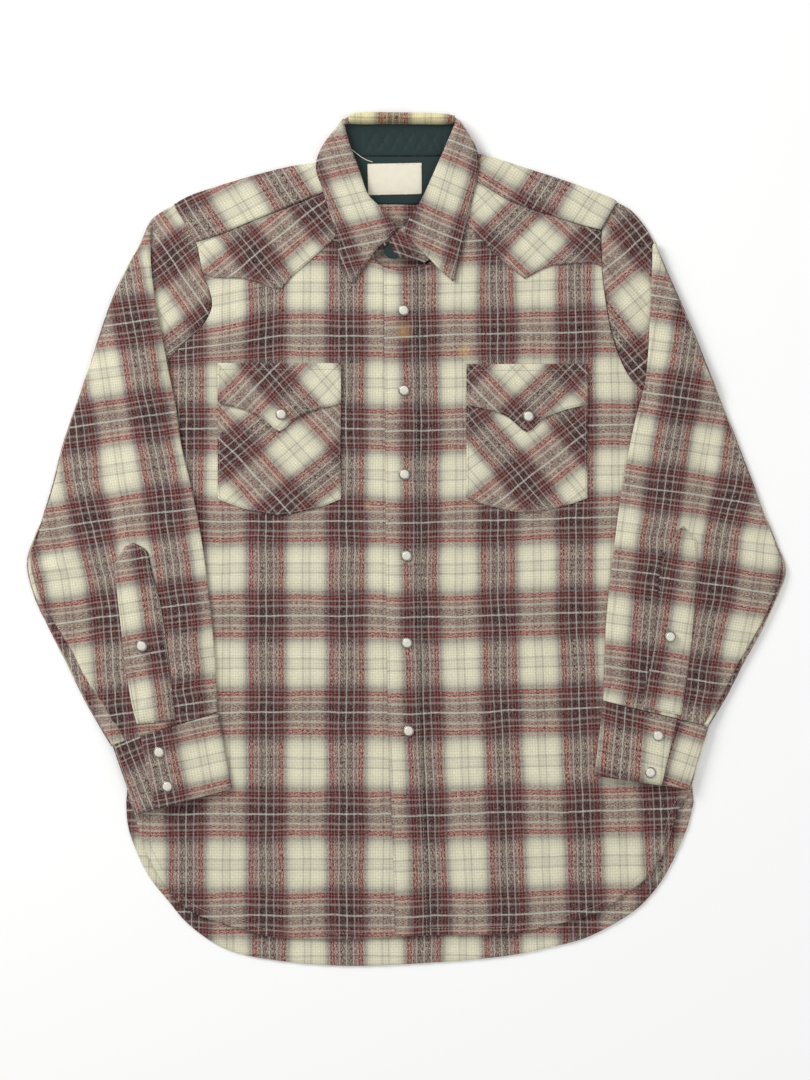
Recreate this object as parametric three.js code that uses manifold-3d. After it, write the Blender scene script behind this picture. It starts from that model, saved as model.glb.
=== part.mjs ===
// A western snap shirt in wool flannel, laid flat on its back with its sleeves folded down over its sides.
// Millimetres, +Z up. X runs to the viewer's right, Y from the hem to the collar, and the cloth rests on Z = 0.
// Left and right in the names are the wearer's: the wearer's right is at -X.

import * as THREE from "three";
import { mergeVertices } from "three/addons/utils/BufferGeometryUtils.js";
import Module from "manifold-3d";

const wasm = await Module();
wasm.setup();

// Cloth thicknesses and the gap that is kept between pieces.
const cloth = 1.2;
const doubled = 2.0;
const liningCloth = 0.9;
const labelCloth = 0.6;
const gap = 0.3;
const tall = 60;

// The layers above the floor.
const backTop = cloth;
const frontLift = 2.8;
const neckLift = 3.9;
const hemLift = 0.5;
const collarFoot = 2.0;
const standFoot = collarFoot + gap;

// Spacing of the cloth's points, and the length of the chords along a curved edge.
const pitch = 37;
const finePitch = 19;
const chord = 19;

const { lerp, smoothstep } = THREE.MathUtils;

// Reads a column of a table at a height y, straight between its rows. The rows run from low y to high y.
function column(table, name, y) {
  const above = table.findIndex((row) => row.y >= y);
  if (above === 0) return table[0][name];
  if (above < 0) return table[table.length - 1][name];
  const low = table[above - 1];
  const high = table[above];
  return lerp(low[name], high[name], (y - low.y) / (high.y - low.y));
}

// A smooth edge through a few points, as chords of about the length asked for.
function edge(points, step = chord) {
  const line = new THREE.SplineCurve(points.map(([x, y]) => new THREE.Vector2(x, y)));
  const count = Math.max(points.length - 1, Math.round(line.getLength() / step));
  return line.getSpacedPoints(count).map((p) => [p.x, p.y]);
}

// The same edge moved sideways by a distance, to the left of its direction when that is positive.
function moved(points, distance) {
  return points.map(([x, y], i) => {
    const [ax, ay] = points[Math.max(i - 1, 0)];
    const [bx, by] = points[Math.min(i + 1, points.length - 1)];
    const length = Math.hypot(bx - ax, by - ay);
    return [x - ((by - ay) / length) * distance, y + ((bx - ax) / length) * distance];
  });
}

// The stretch of an edge between two heights, with its ends cut there.
function between(points, low, high) {
  const kept = [];
  points.forEach(([x, y], i) => {
    if (y >= low && y <= high) kept.push([x, y]);
    const next = points[i + 1];
    if (!next) return;
    const cuts = [low, high]
      .filter((level) => (y - level) * (next[1] - level) < 0)
      .map((level) => [lerp(x, next[0], (level - y) / (next[1] - y)), level]);
    if (next[1] < y) cuts.reverse();
    kept.push(...cuts);
  });
  return kept;
}

const reversed = (points) => [...points].reverse();
const shifted = (points, dx, dy) => points.map(([x, y]) => [x + dx, y + dy]);

function toSolid(geometry) {
  const bare = new THREE.BufferGeometry();
  bare.setAttribute("position", geometry.getAttribute("position"));
  if (geometry.index) bare.setIndex(geometry.index);
  const merged = mergeVertices(bare, 1e-4);
  const vertProperties = new Float32Array(merged.getAttribute("position").array);
  return new wasm.Manifold(
    new wasm.Mesh({ numProp: 3, vertProperties, triVerts: new Uint32Array(merged.index.array) }),
  );
}

// A closed solid from places and faces, with its faces turned outward.
function closedSolid(places, faces) {
  const geometry = new THREE.BufferGeometry();
  geometry.setAttribute("position", new THREE.Float32BufferAttribute(places, 3));
  geometry.setIndex(faces);
  const solid = toSolid(geometry);
  if (solid.volume() > 0) return solid;
  geometry.setIndex([...faces].reverse());
  return toSolid(geometry);
}

function toGeometry(solid) {
  const { vertProperties, triVerts, numProp } = solid.getMesh();
  const places = [];
  for (let i = 0; i < vertProperties.length; i += numProp) places.push(...vertProperties.slice(i, i + 3));
  const geometry = new THREE.BufferGeometry();
  geometry.setAttribute("position", new THREE.Float32BufferAttribute(places, 3));
  geometry.setIndex([...triVerts]);
  geometry.computeVertexNormals();
  return geometry;
}

// A straight-sided block over a closed outline, between two heights.
function prism(outline, low = -tall, high = tall) {
  const shape = new THREE.Shape(outline.map(([x, y]) => new THREE.Vector2(x, y)));
  const geometry = new THREE.ExtrudeGeometry(shape, { depth: high - low, bevelEnabled: false });
  return toSolid(geometry.translate(0, 0, low));
}

// A closed skin from a lattice of upper and lower points, joined round its rim.
function skin(upper, lower) {
  const rows = upper.length;
  const columns = upper[0].length;
  const places = [...upper.flat(2), ...lower.flat(2)];
  const low = rows * columns;
  const at = (r, c) => r * columns + c;
  const faces = [];
  for (let r = 0; r + 1 < rows; r++) {
    for (let c = 0; c + 1 < columns; c++) {
      const [a, b, d, e] = [at(r, c), at(r, c + 1), at(r + 1, c + 1), at(r + 1, c)];
      faces.push(a, b, d, a, d, e);
      faces.push(low + a, low + d, low + b, low + a, low + e, low + d);
    }
  }
  const rim = [];
  for (let c = 0; c + 1 < columns; c++) rim.push([at(0, c), at(0, c + 1)]);
  for (let r = 0; r + 1 < rows; r++) rim.push([at(r, columns - 1), at(r + 1, columns - 1)]);
  for (let c = columns - 1; c > 0; c--) rim.push([at(rows - 1, c), at(rows - 1, c - 1)]);
  for (let r = rows - 1; r > 0; r--) rim.push([at(r, 0), at(r - 1, 0)]);
  for (const [a, b] of rim) faces.push(low + a, low + b, b, low + a, b, a);
  return closedSolid(places, faces);
}

// A sheet between two height functions, over a lattice of places.
function slab(lattice, under, over) {
  const raise = (height) => lattice.map((row) => row.map(([x, y]) => [x, y, height(x, y)]));
  return skin(raise(over), raise(under));
}

const cut = (sheet, outline) => sheet.intersect(prism(outline));

// The body's side edges. Above the armpits they only bound the lattice.
const bodySides = [
  { y: -430, left: -284, right: 291 },
  { y: -263, left: -281, right: 288 },
  { y: 142, left: -249, right: 248 },
  { y: 345, left: -238, right: 222 },
  { y: 430, left: -238, right: 222 },
];
const sideLeft = (y) => column(bodySides, "left", y);
const sideRight = (y) => column(bodySides, "right", y);

// One lattice carries everything on the body, so that sheets that lie on each other keep an even gap.
const neckTop = 430;
const neckFrom = 240;
const rimSteps = [-1, 6, 20];
const latticeRows = [];
for (let y = -430; y < neckFrom; y += pitch + 3) latticeRows.push(y);
for (let y = neckFrom; y < neckTop + finePitch; y += finePitch) latticeRows.push(y);
const middleFrom = -105;
const middleTo = 88;
const bodyLattice = latticeRows.map((y) => {
  const left = rimSteps.map((step) => sideLeft(y) + step);
  const right = reversed(rimSteps.map((step) => sideRight(y) - step));
  const spread = (from, to, step, withEnd) => {
    const count = Math.round(Math.abs(to - from) / step);
    const places = [];
    for (let i = 1; i < count + (withEnd ? 1 : 0); i++) places.push(lerp(from, to, i / count));
    return places;
  };
  const wide = 160;
  const leftCount = wide / pitch;
  const fromLeft = spread(left[2], middleFrom, Math.abs(middleFrom - left[2]) / leftCount, true);
  const middle = spread(middleFrom, middleTo, finePitch + 3, true);
  const toRight = spread(middleTo, right[0], Math.abs(right[0] - middleTo) / leftCount, false);
  return [...left, ...fromLeft, ...middle, ...toRight, ...right].map((x) => [x, y]);
});

// Soft folds of the fronts: middle, direction in degrees, half length, half width and height of each.
const frontFolds = [
  { x: -172, y: 205, turn: 32, long: 62, wide: 16, high: 2.6 },
  { x: -205, y: 150, turn: 62, long: 60, wide: 15, high: 1.8 },
  { x: 186, y: 196, turn: 112, long: 70, wide: 15, high: 2.2 },
  { x: -45, y: -250, turn: 82, long: 120, wide: 26, high: 1.5 },
  { x: 70, y: -300, turn: 98, long: 90, wide: 24, high: 1.3 },
  { x: -150, y: -90, turn: 70, long: 110, wide: 28, high: 1.4 },
  { x: 120, y: -120, turn: 104, long: 120, wide: 30, high: 1.3 },
  { x: -190, y: -300, turn: 50, long: 60, wide: 22, high: 1.4 },
  { x: 205, y: -290, turn: 124, long: 60, wide: 22, high: 1.4 },
];

function foldHeight(folds, x, y) {
  return folds.reduce((sum, fold) => {
    const turn = THREE.MathUtils.degToRad(fold.turn);
    const along = (x - fold.x) * Math.cos(turn) + (y - fold.y) * Math.sin(turn);
    const across = (y - fold.y) * Math.cos(turn) - (x - fold.x) * Math.sin(turn);
    return sum + fold.high * Math.exp(-((along / fold.long) ** 2) - (across / fold.wide) ** 2);
  }, 0);
}

// The underside of the fronts: low at the side seams and the hem, lifted in the middle and at the neck.
const neckMiddle = -8;
function frontUnder(x, y) {
  const inset = Math.min(x - sideLeft(y), sideRight(y) - x);
  const side = smoothstep(inset, 0, 34);
  const hem = smoothstep(y, -405, -250);
  const neck = smoothstep(y, 215, 330) * (1 - smoothstep(Math.abs(x - neckMiddle), 80, 190));
  const lift = lerp(lerp(hemLift, frontLift, hem), neckLift, neck);
  return backTop + gap + side * (lift + foldHeight(frontFolds, x, y));
}
const frontTop = (x, y) => frontUnder(x, y) + cloth;
const onFront = (x, y) => frontTop(x, y) + gap;
const yokeTop = (x, y) => onFront(x, y) + cloth;

// The snap band's left edge; it leans as the shirt was laid.
const bandWidth = 34;
const bandLap = 5;
const bandLine = [
  { y: -397, x: -11 },
  { y: -300, x: -14 },
  { y: -160, x: -19 },
  { y: 60, x: -21 },
  { y: 272, x: -23 },
];
const bandPoints = bandLine.map(({ y, x }) => [x, y]);

// Armhole seams, from the shoulder point down to the armpit.
const armholeRight = edge([
  [-232.5, 335],
  [-215.6, 309],
  [-209, 292],
  [-204, 267],
  [-197, 249],
  [-195, 232],
  [-205, 213],
  [-222, 197],
  [-240, 177],
  [-249, 158],
  [-249.4, 142],
]);
const armholeLeft = edge([
  [210, 337.5],
  [199.4, 321],
  [194.5, 304],
  [195.3, 274],
  [198, 248],
  [204, 212],
  [211, 188],
  [222, 165],
  [236, 150],
  [248.4, 142],
]);

// Where the shoulder strips of the back yoke meet the front yokes, from the armhole to the neck.
const strapSeamRight = edge([
  [-211, 298],
  [-188, 305],
  [-154, 319],
  [-116, 334],
  [-70, 353],
]);
const strapSeamLeft = edge([
  [194.5, 310],
  [168, 317],
  [122, 332],
  [97, 342],
  [62, 364],
]);

// Neck edges of the fronts, from the shoulder strip down to the throat.
const neckRight = edge([
  [-70, 353],
  [-62, 325],
  [-49, 300],
  [-35, 283],
  [-21, 271],
]);
const neckLeft = edge([
  [62, 364],
  [56, 338],
  [46, 312],
  [34, 291],
  [20, 275],
]);

// The hems. The back is cut longer than the fronts.
const backHem = edge([
  [-281, -263],
  [-279, -288],
  [-270, -314],
  [-258, -338],
  [-239, -362],
  [-218, -386],
  [-184, -409],
  [-137, -421],
  [-57, -427.4],
  [43, -423],
  [103, -417],
  [143, -409],
  [183, -398],
  [226, -374],
  [250, -350],
  [266, -324],
  [281, -290],
  [288, -263],
]);
const frontHemRight = edge([
  [-280.3, -255],
  [-272, -276],
  [-263, -308],
  [-246, -340],
  [-228, -363],
  [-207, -377],
  [-173, -388],
  [-135, -398],
  [-73, -401],
  [-37, -400],
  [column(bandLine, "x", -397) + bandWidth - bandLap, -396],
]);
const frontHemLeft = edge([
  [column(bandLine, "x", -397) + bandWidth - bandLap + gap, -396],
  [62, -396],
  [100, -395],
  [131, -390],
  [191, -374],
  [220, -354],
  [236, -343],
  [252, -323],
  [262, -303],
  [272, -272],
  [286.6, -250],
]);

// Shoulder folds, from the armhole to the neck.
const shoulderRight = edge([
  [-232.5, 335],
  [-217, 343],
  [-197, 350],
  [-157, 362],
  [-117, 372],
  [-86, 377],
]);
const shoulderLeft = edge([
  [210, 337.5],
  [203, 341.5],
  [163, 356.5],
  [123, 369.5],
  [83, 382],
  [66, 385],
]);

// The back and the back yoke meet in a pointed seam.
const yokeSeam = [
  [-200, 256],
  [-104, 244],
  [-3, 204],
  [98, 244],
  [197, 256],
];
const backNeck = edge([
  [-86, 377],
  [-40, 382],
  [20, 384],
  [66, 385],
]);

const hemWidth = 8;
const hemTurn = 1.0;

function makeBack() {
  const upper = 256 - gap;
  const outline = [
    ...backHem,
    ...reversed(between(armholeLeft, 142, upper)),
    ...reversed(shifted(yokeSeam, 0, -gap)).slice(1, -1),
    ...between(armholeRight, 142, upper),
  ];
  const inner = backHem.map((point, i) => {
    const width = lerp(hemWidth, 1.5, smoothstep(point[1], -320, -268));
    return moved(backHem, width)[i];
  });
  return prism(outline, 0, backTop).add(prism([...backHem, ...reversed(inner)], 0, backTop + hemTurn));
}

// The back yoke lies over the turned-down collar at the neck and on the floor elsewhere.
const yokeUnder = (x, y) => standFoot * smoothstep(y, 335, 359) * (1 - smoothstep(Math.abs(x + 8), 88, 108));
const strapTop = (x, y) => Math.max(yokeTop(x, y), 4.4);

function makeBackYoke() {
  const plate = cut(
    slab(bodyLattice, yokeUnder, (x, y) => yokeUnder(x, y) + cloth),
    [
      ...reversed(between(armholeRight, 256, 336)),
      ...shoulderRight.slice(1, -1),
      ...backNeck,
      ...reversed(shoulderLeft).slice(1, -1),
      ...between(armholeLeft, 256, 338),
      ...reversed(yokeSeam).slice(1, -1),
    ],
  );
  const strap = (armhole, shoulder, seam, neck, inward) => {
    const seamEdge = moved(seam, inward * gap);
    const outer = [...shoulder, neck, ...reversed(seamEdge), ...between(reversed(armhole), seam[0][1] + 1, 334)];
    const [firstX, firstY] = shoulder[0];
    const inner = [
      ...moved(shoulder, -inward * cloth),
      [neck[0] + inward * 12, neck[1]],
      ...reversed(shifted(seamEdge, 0, -12)),
      [firstX - inward * 24, seam[0][1] - 12],
      [firstX - inward * 24, firstY - 6],
    ];
    const shell = cut(slab(bodyLattice, yokeUnder, strapTop), outer);
    const hollow = cut(
      slab(
        bodyLattice,
        (x, y) => yokeUnder(x, y) + cloth,
        (x, y) => strapTop(x, y) - cloth,
      ),
      inner,
    );
    return shell.subtract(hollow);
  };
  return plate
    .add(strap(armholeRight, shoulderRight, strapSeamRight, [-72, 372], 1))
    .add(strap(armholeLeft, shoulderLeft, strapSeamLeft, [63, 376], -1));
}

const liningTop = (x, y) => yokeUnder(x, y) + cloth + gap + liningCloth;
const neckLiningOutline = [
  [-66, 336],
  [54, 336],
  [62, 352],
  [60, 380],
  [20, 382],
  [-40, 380],
  [-72, 374],
  [-74, 352],
];

const makeNeckLining = () =>
  cut(slab(bodyLattice, (x, y) => liningTop(x, y) - liningCloth, liningTop), neckLiningOutline);

// The label sits slightly turned on the lining.
const labelCorners = [
  [-38.5, 345],
  [15.5, 346],
  [15, 377],
  [-39, 376],
];
const makeNeckLabel = () =>
  cut(
    slab(
      bodyLattice,
      (x, y) => liningTop(x, y) + gap,
      (x, y) => liningTop(x, y) + gap + labelCloth,
    ),
    labelCorners,
  );

function makeFrontRight() {
  const centre = bandPoints.map(([x, y]) => [x + bandWidth - bandLap, y]);
  const outline = [
    ...frontHemRight,
    ...edge(centre).slice(1),
    ...reversed(neckRight),
    ...reversed(strapSeamRight).slice(1),
    ...between(armholeRight, 143, 297),
    [sideLeft(141) + 0.4, 141],
  ];
  return cut(slab(bodyLattice, frontUnder, frontTop), outline);
}

function makeFrontLeft() {
  const centre = bandPoints.map(([x, y]) => [x + bandWidth - bandLap + gap, y]);
  const outline = [
    ...frontHemLeft,
    [sideRight(141) - 0.4, 141],
    ...reversed(between(armholeLeft, 143, 309)),
    ...strapSeamLeft,
    ...neckLeft.slice(1),
    ...reversed(edge(centre)).slice(0, -1),
  ];
  return cut(slab(bodyLattice, frontUnder, frontTop), outline);
}

function makeFrontBand() {
  const left = edge(bandPoints);
  const right = left.map(([x, y]) => [x + bandWidth, y]);
  return cut(slab(bodyLattice, onFront, yokeTop), [...right, ...reversed(left)]);
}

// Front yokes: the lower edge runs from the armhole over the point to the neck.
const yokeEdgeRight = [
  [-203.2, 266],
  [-191, 262],
  [-163, 261],
  [-152, 258],
  [-134, 251.5],
  [-124.5, 251.5],
  [-113, 265],
  [-88, 287],
  [-72, 301],
  [-60, 313],
];
const yokeEdgeLeft = [
  [195.5, 273],
  [185, 277],
  [166, 276.5],
  [148, 274.6],
  [135, 270],
  [118.4, 260.5],
  [99, 276.5],
  [87, 287],
  [61, 315],
  [50, 322],
];

function makeFrontYoke(lowerEdge, armhole, seam, neck) {
  const outline = [
    ...lowerEdge,
    ...reversed(between(neck, lowerEdge[lowerEdge.length - 1][1] + 4, seam[seam.length - 1][1] - 1)),
    ...reversed(seam),
    ...between(armhole, lowerEdge[0][1] + 2, seam[0][1] - 2),
  ];
  return cut(slab(bodyLattice, onFront, yokeTop), outline);
}

// Pockets: places of the edges, and how far the bottom's corners and the flap's shoulders lie above its point.
const pockets = {
  right: { left: -188.8, right: -65.5, top: 176.4, side: 40.5, point: 24.5 },
  left: { left: 60, right: 181, top: 175.5, side: 41.5, point: 27 },
};
const pocketHidden = 12;
const flapSide = 40;
const flapPoint = 68;

function makePocket({ left, right, top, side, point }) {
  const middle = (left + right) / 2;
  const half = (right - left) / 2;
  const outline = [
    [left, top - pocketHidden],
    [left, side],
    [middle - half * 0.62, lerp(side, point, 0.55)],
    [middle - 10, point + 0.6],
    [middle + 10, point + 0.6],
    [middle + half * 0.62, lerp(side, point, 0.55)],
    [right, side],
    [right, top - pocketHidden],
  ];
  return cut(slab(bodyLattice, onFront, yokeTop), outline);
}

const flapUnder = (x, y) => yokeTop(x, y) + gap;
const flapTop = (x, y) => flapUnder(x, y) + doubled;

function makePocketFlap({ left, right, top }) {
  const middle = (left + right) / 2;
  const half = (right - left) / 2;
  const leftEdge = [
    [left, top - flapSide],
    [middle - half * 0.62, top - flapSide - 6],
    [middle - half * 0.32, top - flapSide - 13],
    [middle - 4, top - flapPoint + 1],
  ];
  const rightEdge = reversed(leftEdge.map(([x, y]) => [2 * middle - x, y]));
  const outline = [[left, top], ...leftEdge, ...rightEdge, [right, top]];
  return cut(slab(bodyLattice, flapUnder, flapTop), outline);
}

// The collar. Its leaf lies over the yokes in front and turns under the neck at the back.
const rollRight = edge([
  [-62, 414.5],
  [-56, 393],
  [-47, 369],
  [-39, 346],
  [-28, 334],
  [-9, 313],
]);
const rollLeft = edge([
  [48.6, 416],
  [39.7, 395],
  [27, 366],
  [14, 338],
  [3, 321],
  [-3, 310],
]);
const leafRight = edge([
  [-58, 427],
  [-75, 406],
  [-87, 388],
  [-90.5, 370],
  [-84, 350],
  [-73, 313],
  [-64, 272],
  [-57, 257],
]);
const leafLeft = edge([
  [49, 425],
  [60, 408],
  [69, 393],
  [72.5, 378],
  [70, 357],
  [62.6, 325],
  [52, 274],
  [49, 258],
]);
const leafFrontRight = [
  [-54, 257.5],
  [-30.5, 289.5],
  [-10, 308],
];
const leafFrontLeft = [
  [46, 258.5],
  [20.6, 283],
  [-1.5, 304],
];
const leafCloth = 2.2;
const rollWidth = 9;
const rollRise = 3.2;
const foldWall = 2.0;
const foldFromRight = 384.5;
const foldFromLeft = 391;

// The wings are highest along the roll line and come down to the yokes at their outer edge.
function distanceTo(line, x, y) {
  return Math.min(...line.map(([px, py]) => Math.hypot(px - x, py - y)));
}
function wingUnder(x, y) {
  const nearRoll = Math.min(distanceTo(rollRight, x, y), distanceTo(rollLeft, x, y));
  const rise = rollRise * (1 - smoothstep(nearRoll, 4, 52));
  const onNeck = backTop + gap + neckLift + cloth + gap + cloth + gap;
  return Math.max(yokeTop(x, y) + gap, y > 350 ? onNeck : 0) + rise;
}
const wingTop = (x, y) => wingUnder(x, y) + leafCloth;

function makeCollarLeaf() {
  const topRight = leafRight[0];
  const topLeft = leafLeft[0];
  const wings = cut(slab(bodyLattice, wingUnder, wingTop), [
    ...leafRight,
    ...leafFrontRight,
    ...reversed(rollRight).slice(1),
    [rollRight[0][0] + 4, topRight[1] - rollWidth],
    [rollLeft[0][0] - 3, topLeft[1] - rollWidth],
    ...rollLeft.slice(0, -1),
    ...reversed(leafFrontLeft),
    ...reversed(leafLeft),
  ]);
  const outerArc = [
    ...reversed(between(leafRight, foldFromRight, neckTop)),
    ...between(leafLeft, foldFromLeft, neckTop),
  ];
  const wall = cut(slab(bodyLattice, () => 0, wingTop), [...outerArc, ...reversed(moved(outerArc, -foldWall))]);
  const under = prism([...outerArc, [50, 372], [-8, 370], [-66, 369]], 0, collarFoot);
  return wings.add(wall).add(under);
}

// The stand: its back lies open under the roll, and its two ends run along the neck edges to the throat.
const standCloth = 1.6;
const standBackTop = standFoot + standCloth;
const standEndRight = [
  [-10, 303],
  [-17, 309],
  [-30, 325],
  [-44, 344],
  [-53, 367],
  [-62, 390],
];
const standEndLeft = [
  [-18, 301],
  [-14, 306],
  [4, 317],
  [17, 335],
  [31, 364],
  [44, 393],
];

function makeCollarStand() {
  const back = prism(
    [
      [-64, 384.4],
      [-8, 384.9],
      [52, 386.2],
      [58, 396],
      [47, 420],
      [-57, 421],
      [-72, 396],
    ],
    standFoot,
    standBackTop,
  );
  const under = (x, y) => wingUnder(x, y) - gap - standCloth;
  const over = (x, y) => wingUnder(x, y) - gap;
  const sheet = slab(bodyLattice, under, over);
  const right = cut(sheet, [
    ...standEndRight,
    [-70, 396],
    ...moved(neckRight.slice(0, -1), gap),
    [-33, 284],
  ]);
  const left = cut(sheet, [
    ...reversed(standEndLeft),
    [-21, 296],
    [-16, 287],
    [4, 281],
    [18, 277],
    ...reversed(moved(neckLeft.slice(0, -1), -gap)),
    [57, 394],
  ]);
  const fold = (x) =>
    prism(
      [
        [x - 4, 388],
        [x + 4, 388],
        [x + 4, 393],
        [x - 4, 393],
      ],
      standFoot + 0.5,
      under(x, 392) + 0.8,
    );
  return back.add(right).add(left).add(fold(-63.3)).add(fold(49.3));
}

const makeStandLining = () =>
  prism(
    [
      [-56, 385],
      [-8, 385.5],
      [44, 386.5],
      [42, 396],
      [44, 414],
      [-55, 414],
      [-55, 396],
    ],
    standBackTop + gap,
    standBackTop + gap + liningCloth,
  );

// Sleeves. Each section runs from the outer fold to the inner fold of the arm. Puff is the room between its layers.
const armSections = {
  right: [
    { outer: [-259, 315], inner: [-255.5, 312], puff: 0.4 },
    { outer: [-266, 298], inner: [-256, 294], puff: 0.8 },
    { outer: [-279, 275], inner: [-255.2, 271], puff: 1.2 },
    { outer: [-295, 240], inner: [-251.5, 242], puff: 2 },
    { outer: [-308, 203], inner: [-245, 206], puff: 2.6 },
    { outer: [-320, 166], inner: [-237.5, 166], puff: 3 },
    { outer: [-333, 130], inner: [-230.5, 132], puff: 3 },
    { outer: [-345, 94], inner: [-225, 94], puff: 3 },
    { outer: [-354, 58], inner: [-217, 60], puff: 3 },
    { outer: [-364, 26], inner: [-210, 28], puff: 3.2 },
    { outer: [-375.5, -3], inner: [-204, -6], puff: 3.6 },
    { outer: [-380.6, -26], inner: [-200, -34], puff: 3.8 },
    { outer: [-373, -58], inner: [-198, -54], puff: 3.4 },
    { outer: [-355, -96], inner: [-195, -78], puff: 3 },
    { outer: [-337, -132], inner: [-192.5, -105], puff: 2.8 },
    { outer: [-319, -168], inner: [-190.5, -135], puff: 2.6 },
    { outer: [-295.5, -207], inner: [-189, -172.5], puff: 2.2 },
  ],
  left: [
    { outer: [249, 299], inner: [246.6, 294], puff: 0.4 },
    { outer: [255, 283], inner: [246, 277], puff: 0.8 },
    { outer: [264.5, 261], inner: [245, 256], puff: 1.2 },
    { outer: [276.5, 234], inner: [243.5, 222], puff: 1.8 },
    { outer: [290, 202], inner: [242, 190], puff: 2.4 },
    { outer: [304, 166], inner: [238.5, 156], puff: 2.8 },
    { outer: [319.5, 130], inner: [229.5, 122], puff: 3 },
    { outer: [333, 94], inner: [222.5, 90], puff: 3 },
    { outer: [347, 58], inner: [216.5, 56], puff: 3 },
    { outer: [360, 24], inner: [211.5, 24], puff: 3.2 },
    { outer: [371.5, -5], inner: [207.5, -8], puff: 3.6 },
    { outer: [380.6, -30], inner: [204, -36], puff: 3.8 },
    { outer: [372, -58], inner: [201.5, -58], puff: 3.4 },
    { outer: [357, -90], inner: [199.5, -82], puff: 3 },
    { outer: [339, -122], inner: [198.3, -105], puff: 2.8 },
    { outer: [321, -157], inner: [197.5, -130], puff: 2.6 },
    { outer: [302.5, -187], inner: [196.8, -161], puff: 2.2 },
  ],
};

// Sleeve plackets: how far across the arm, from its outer fold, their edges lie at the tip and at the cuff.
const placketSections = {
  right: { first: 10, tip: [0.47, 0.58, 0.69], cuff: [0.26, 0.44, 0.61] },
  left: { first: 9, tip: [0.5, 0.61, 0.71], cuff: [0.27, 0.45, 0.64] },
};
const placketColumn = 3;

// Caps, the part of each sleeve between the armhole and the folded arm.
const capOuterRight = edge([
  [-233.4, 334.7],
  [-245, 328.5],
  [-255, 321],
  [-262, 308],
  [-270, 286],
  [-283, 258],
  [-296, 226],
  [-305, 192],
]);
const capOuterLeft = edge([
  [210.9, 337.2],
  [223, 331.5],
  [234, 320],
  [243, 307],
  [250, 292],
  [258, 268],
  [269, 242],
  [282, 212],
  [292, 182],
]);
const capLowerRight = edge([
  [-305, 192],
  [-306, 168],
  [-290, 146],
  [-268, 139],
  [-250.2, 141],
]);
const capLowerLeft = edge([
  [292, 182],
  [294, 162],
  [284, 146],
  [266, 139],
  [249.2, 141],
]);
const capHigh = 6.2;
const capLow = 4.4;
const capEdge = 3.2;

function latticeOver(outline, step) {
  const xs = outline.map(([x]) => x);
  const ys = outline.map(([, y]) => y);
  const margin = 6;
  const [x0, x1] = [Math.min(...xs) - margin, Math.max(...xs) + margin];
  const [y0, y1] = [Math.min(...ys) - margin, Math.max(...ys) + margin];
  const across = Math.ceil((x1 - x0) / step);
  const along = Math.ceil((y1 - y0) / step);
  const rows = [];
  for (let r = 0; r <= along; r++) {
    const row = [];
    for (let c = 0; c <= across; c++) row.push([lerp(x0, x1, c / across), lerp(y0, y1, r / along)]);
    rows.push(row);
  }
  return rows;
}

const caps = {
  right: { armhole: armholeRight, outer: capOuterRight, lower: capLowerRight, inward: 1 },
  left: { armhole: armholeLeft, outer: capOuterLeft, lower: capLowerLeft, inward: -1 },
};

function capTop(side, x, y) {
  const { outer } = caps[side];
  const level = lerp(capLow, capHigh, smoothstep(y, 205, 290));
  return lerp(capEdge, level, smoothstep(distanceTo(outer, x, y), 0, 22));
}

function capOutline(side) {
  const { armhole, outer, lower, inward } = caps[side];
  const seam = moved(armhole, -inward * gap);
  return [...outer, ...lower.slice(1), ...reversed(seam).slice(0, -1)];
}

function makeCap(side) {
  const { outer, lower, inward } = caps[side];
  const outline = capOutline(side);
  const lattice = latticeOver(outline, 21);
  const top = (x, y) => capTop(side, x, y);
  const shell = cut(slab(lattice, () => 0, top), outline);
  const fold = [...outer, ...lower.slice(1)];
  const [endX, endY] = lower[lower.length - 1];
  const hollow = cut(
    slab(
      lattice,
      () => cloth,
      (x, y) => top(x, y) - cloth,
    ),
    [
      ...moved(fold, inward * cloth).slice(1, -1),
      [endX + inward * 80, endY + 6],
      [outer[0][0] + inward * 60, outer[0][1] - 8],
      [outer[0][0] + inward * 2, outer[0][1] - 5],
    ],
  );
  return shell.subtract(hollow);
}

function inside(outline, x, y) {
  let within = false;
  outline.forEach(([ax, ay], i) => {
    const [bx, by] = outline[(i + 1) % outline.length];
    if (ay > y !== by > y && x < lerp(ax, bx, (y - ay) / (by - ay))) within = !within;
  });
  return within;
}

// What an arm or a cuff lies on, looked up all round a point so that its facets stay clear.
const armGap = 0.5;
const reach = 19;
const around = [0, 1, 2, 3, 4, 5, 6, 7].map((k) => [Math.cos((k * Math.PI) / 4), Math.sin((k * Math.PI) / 4)]);
const bodyOutline = [
  ...backHem,
  ...reversed(between(armholeLeft, 142, 400)),
  ...between(armholeRight, 142, 400),
];
const capOutlines = { right: capOutline("right"), left: capOutline("left") };

function support(side, x, y) {
  const tops = [[0, 0], ...around.map(([dx, dy]) => [dx * reach, dy * reach]), ...around.map(([dx, dy]) => [dx * 9, dy * 9])];
  return Math.max(
    ...tops.map(([dx, dy]) => {
      const [px, py] = [x + dx, y + dy];
      const body = inside(bodyOutline, px, py) ? frontTop(px, py) + armGap : 0;
      const cap = inside(capOutlines[side], px, py) ? capTop(side, px, py) + armGap : 0;
      return Math.max(body, cap);
    }),
  );
}

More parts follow.
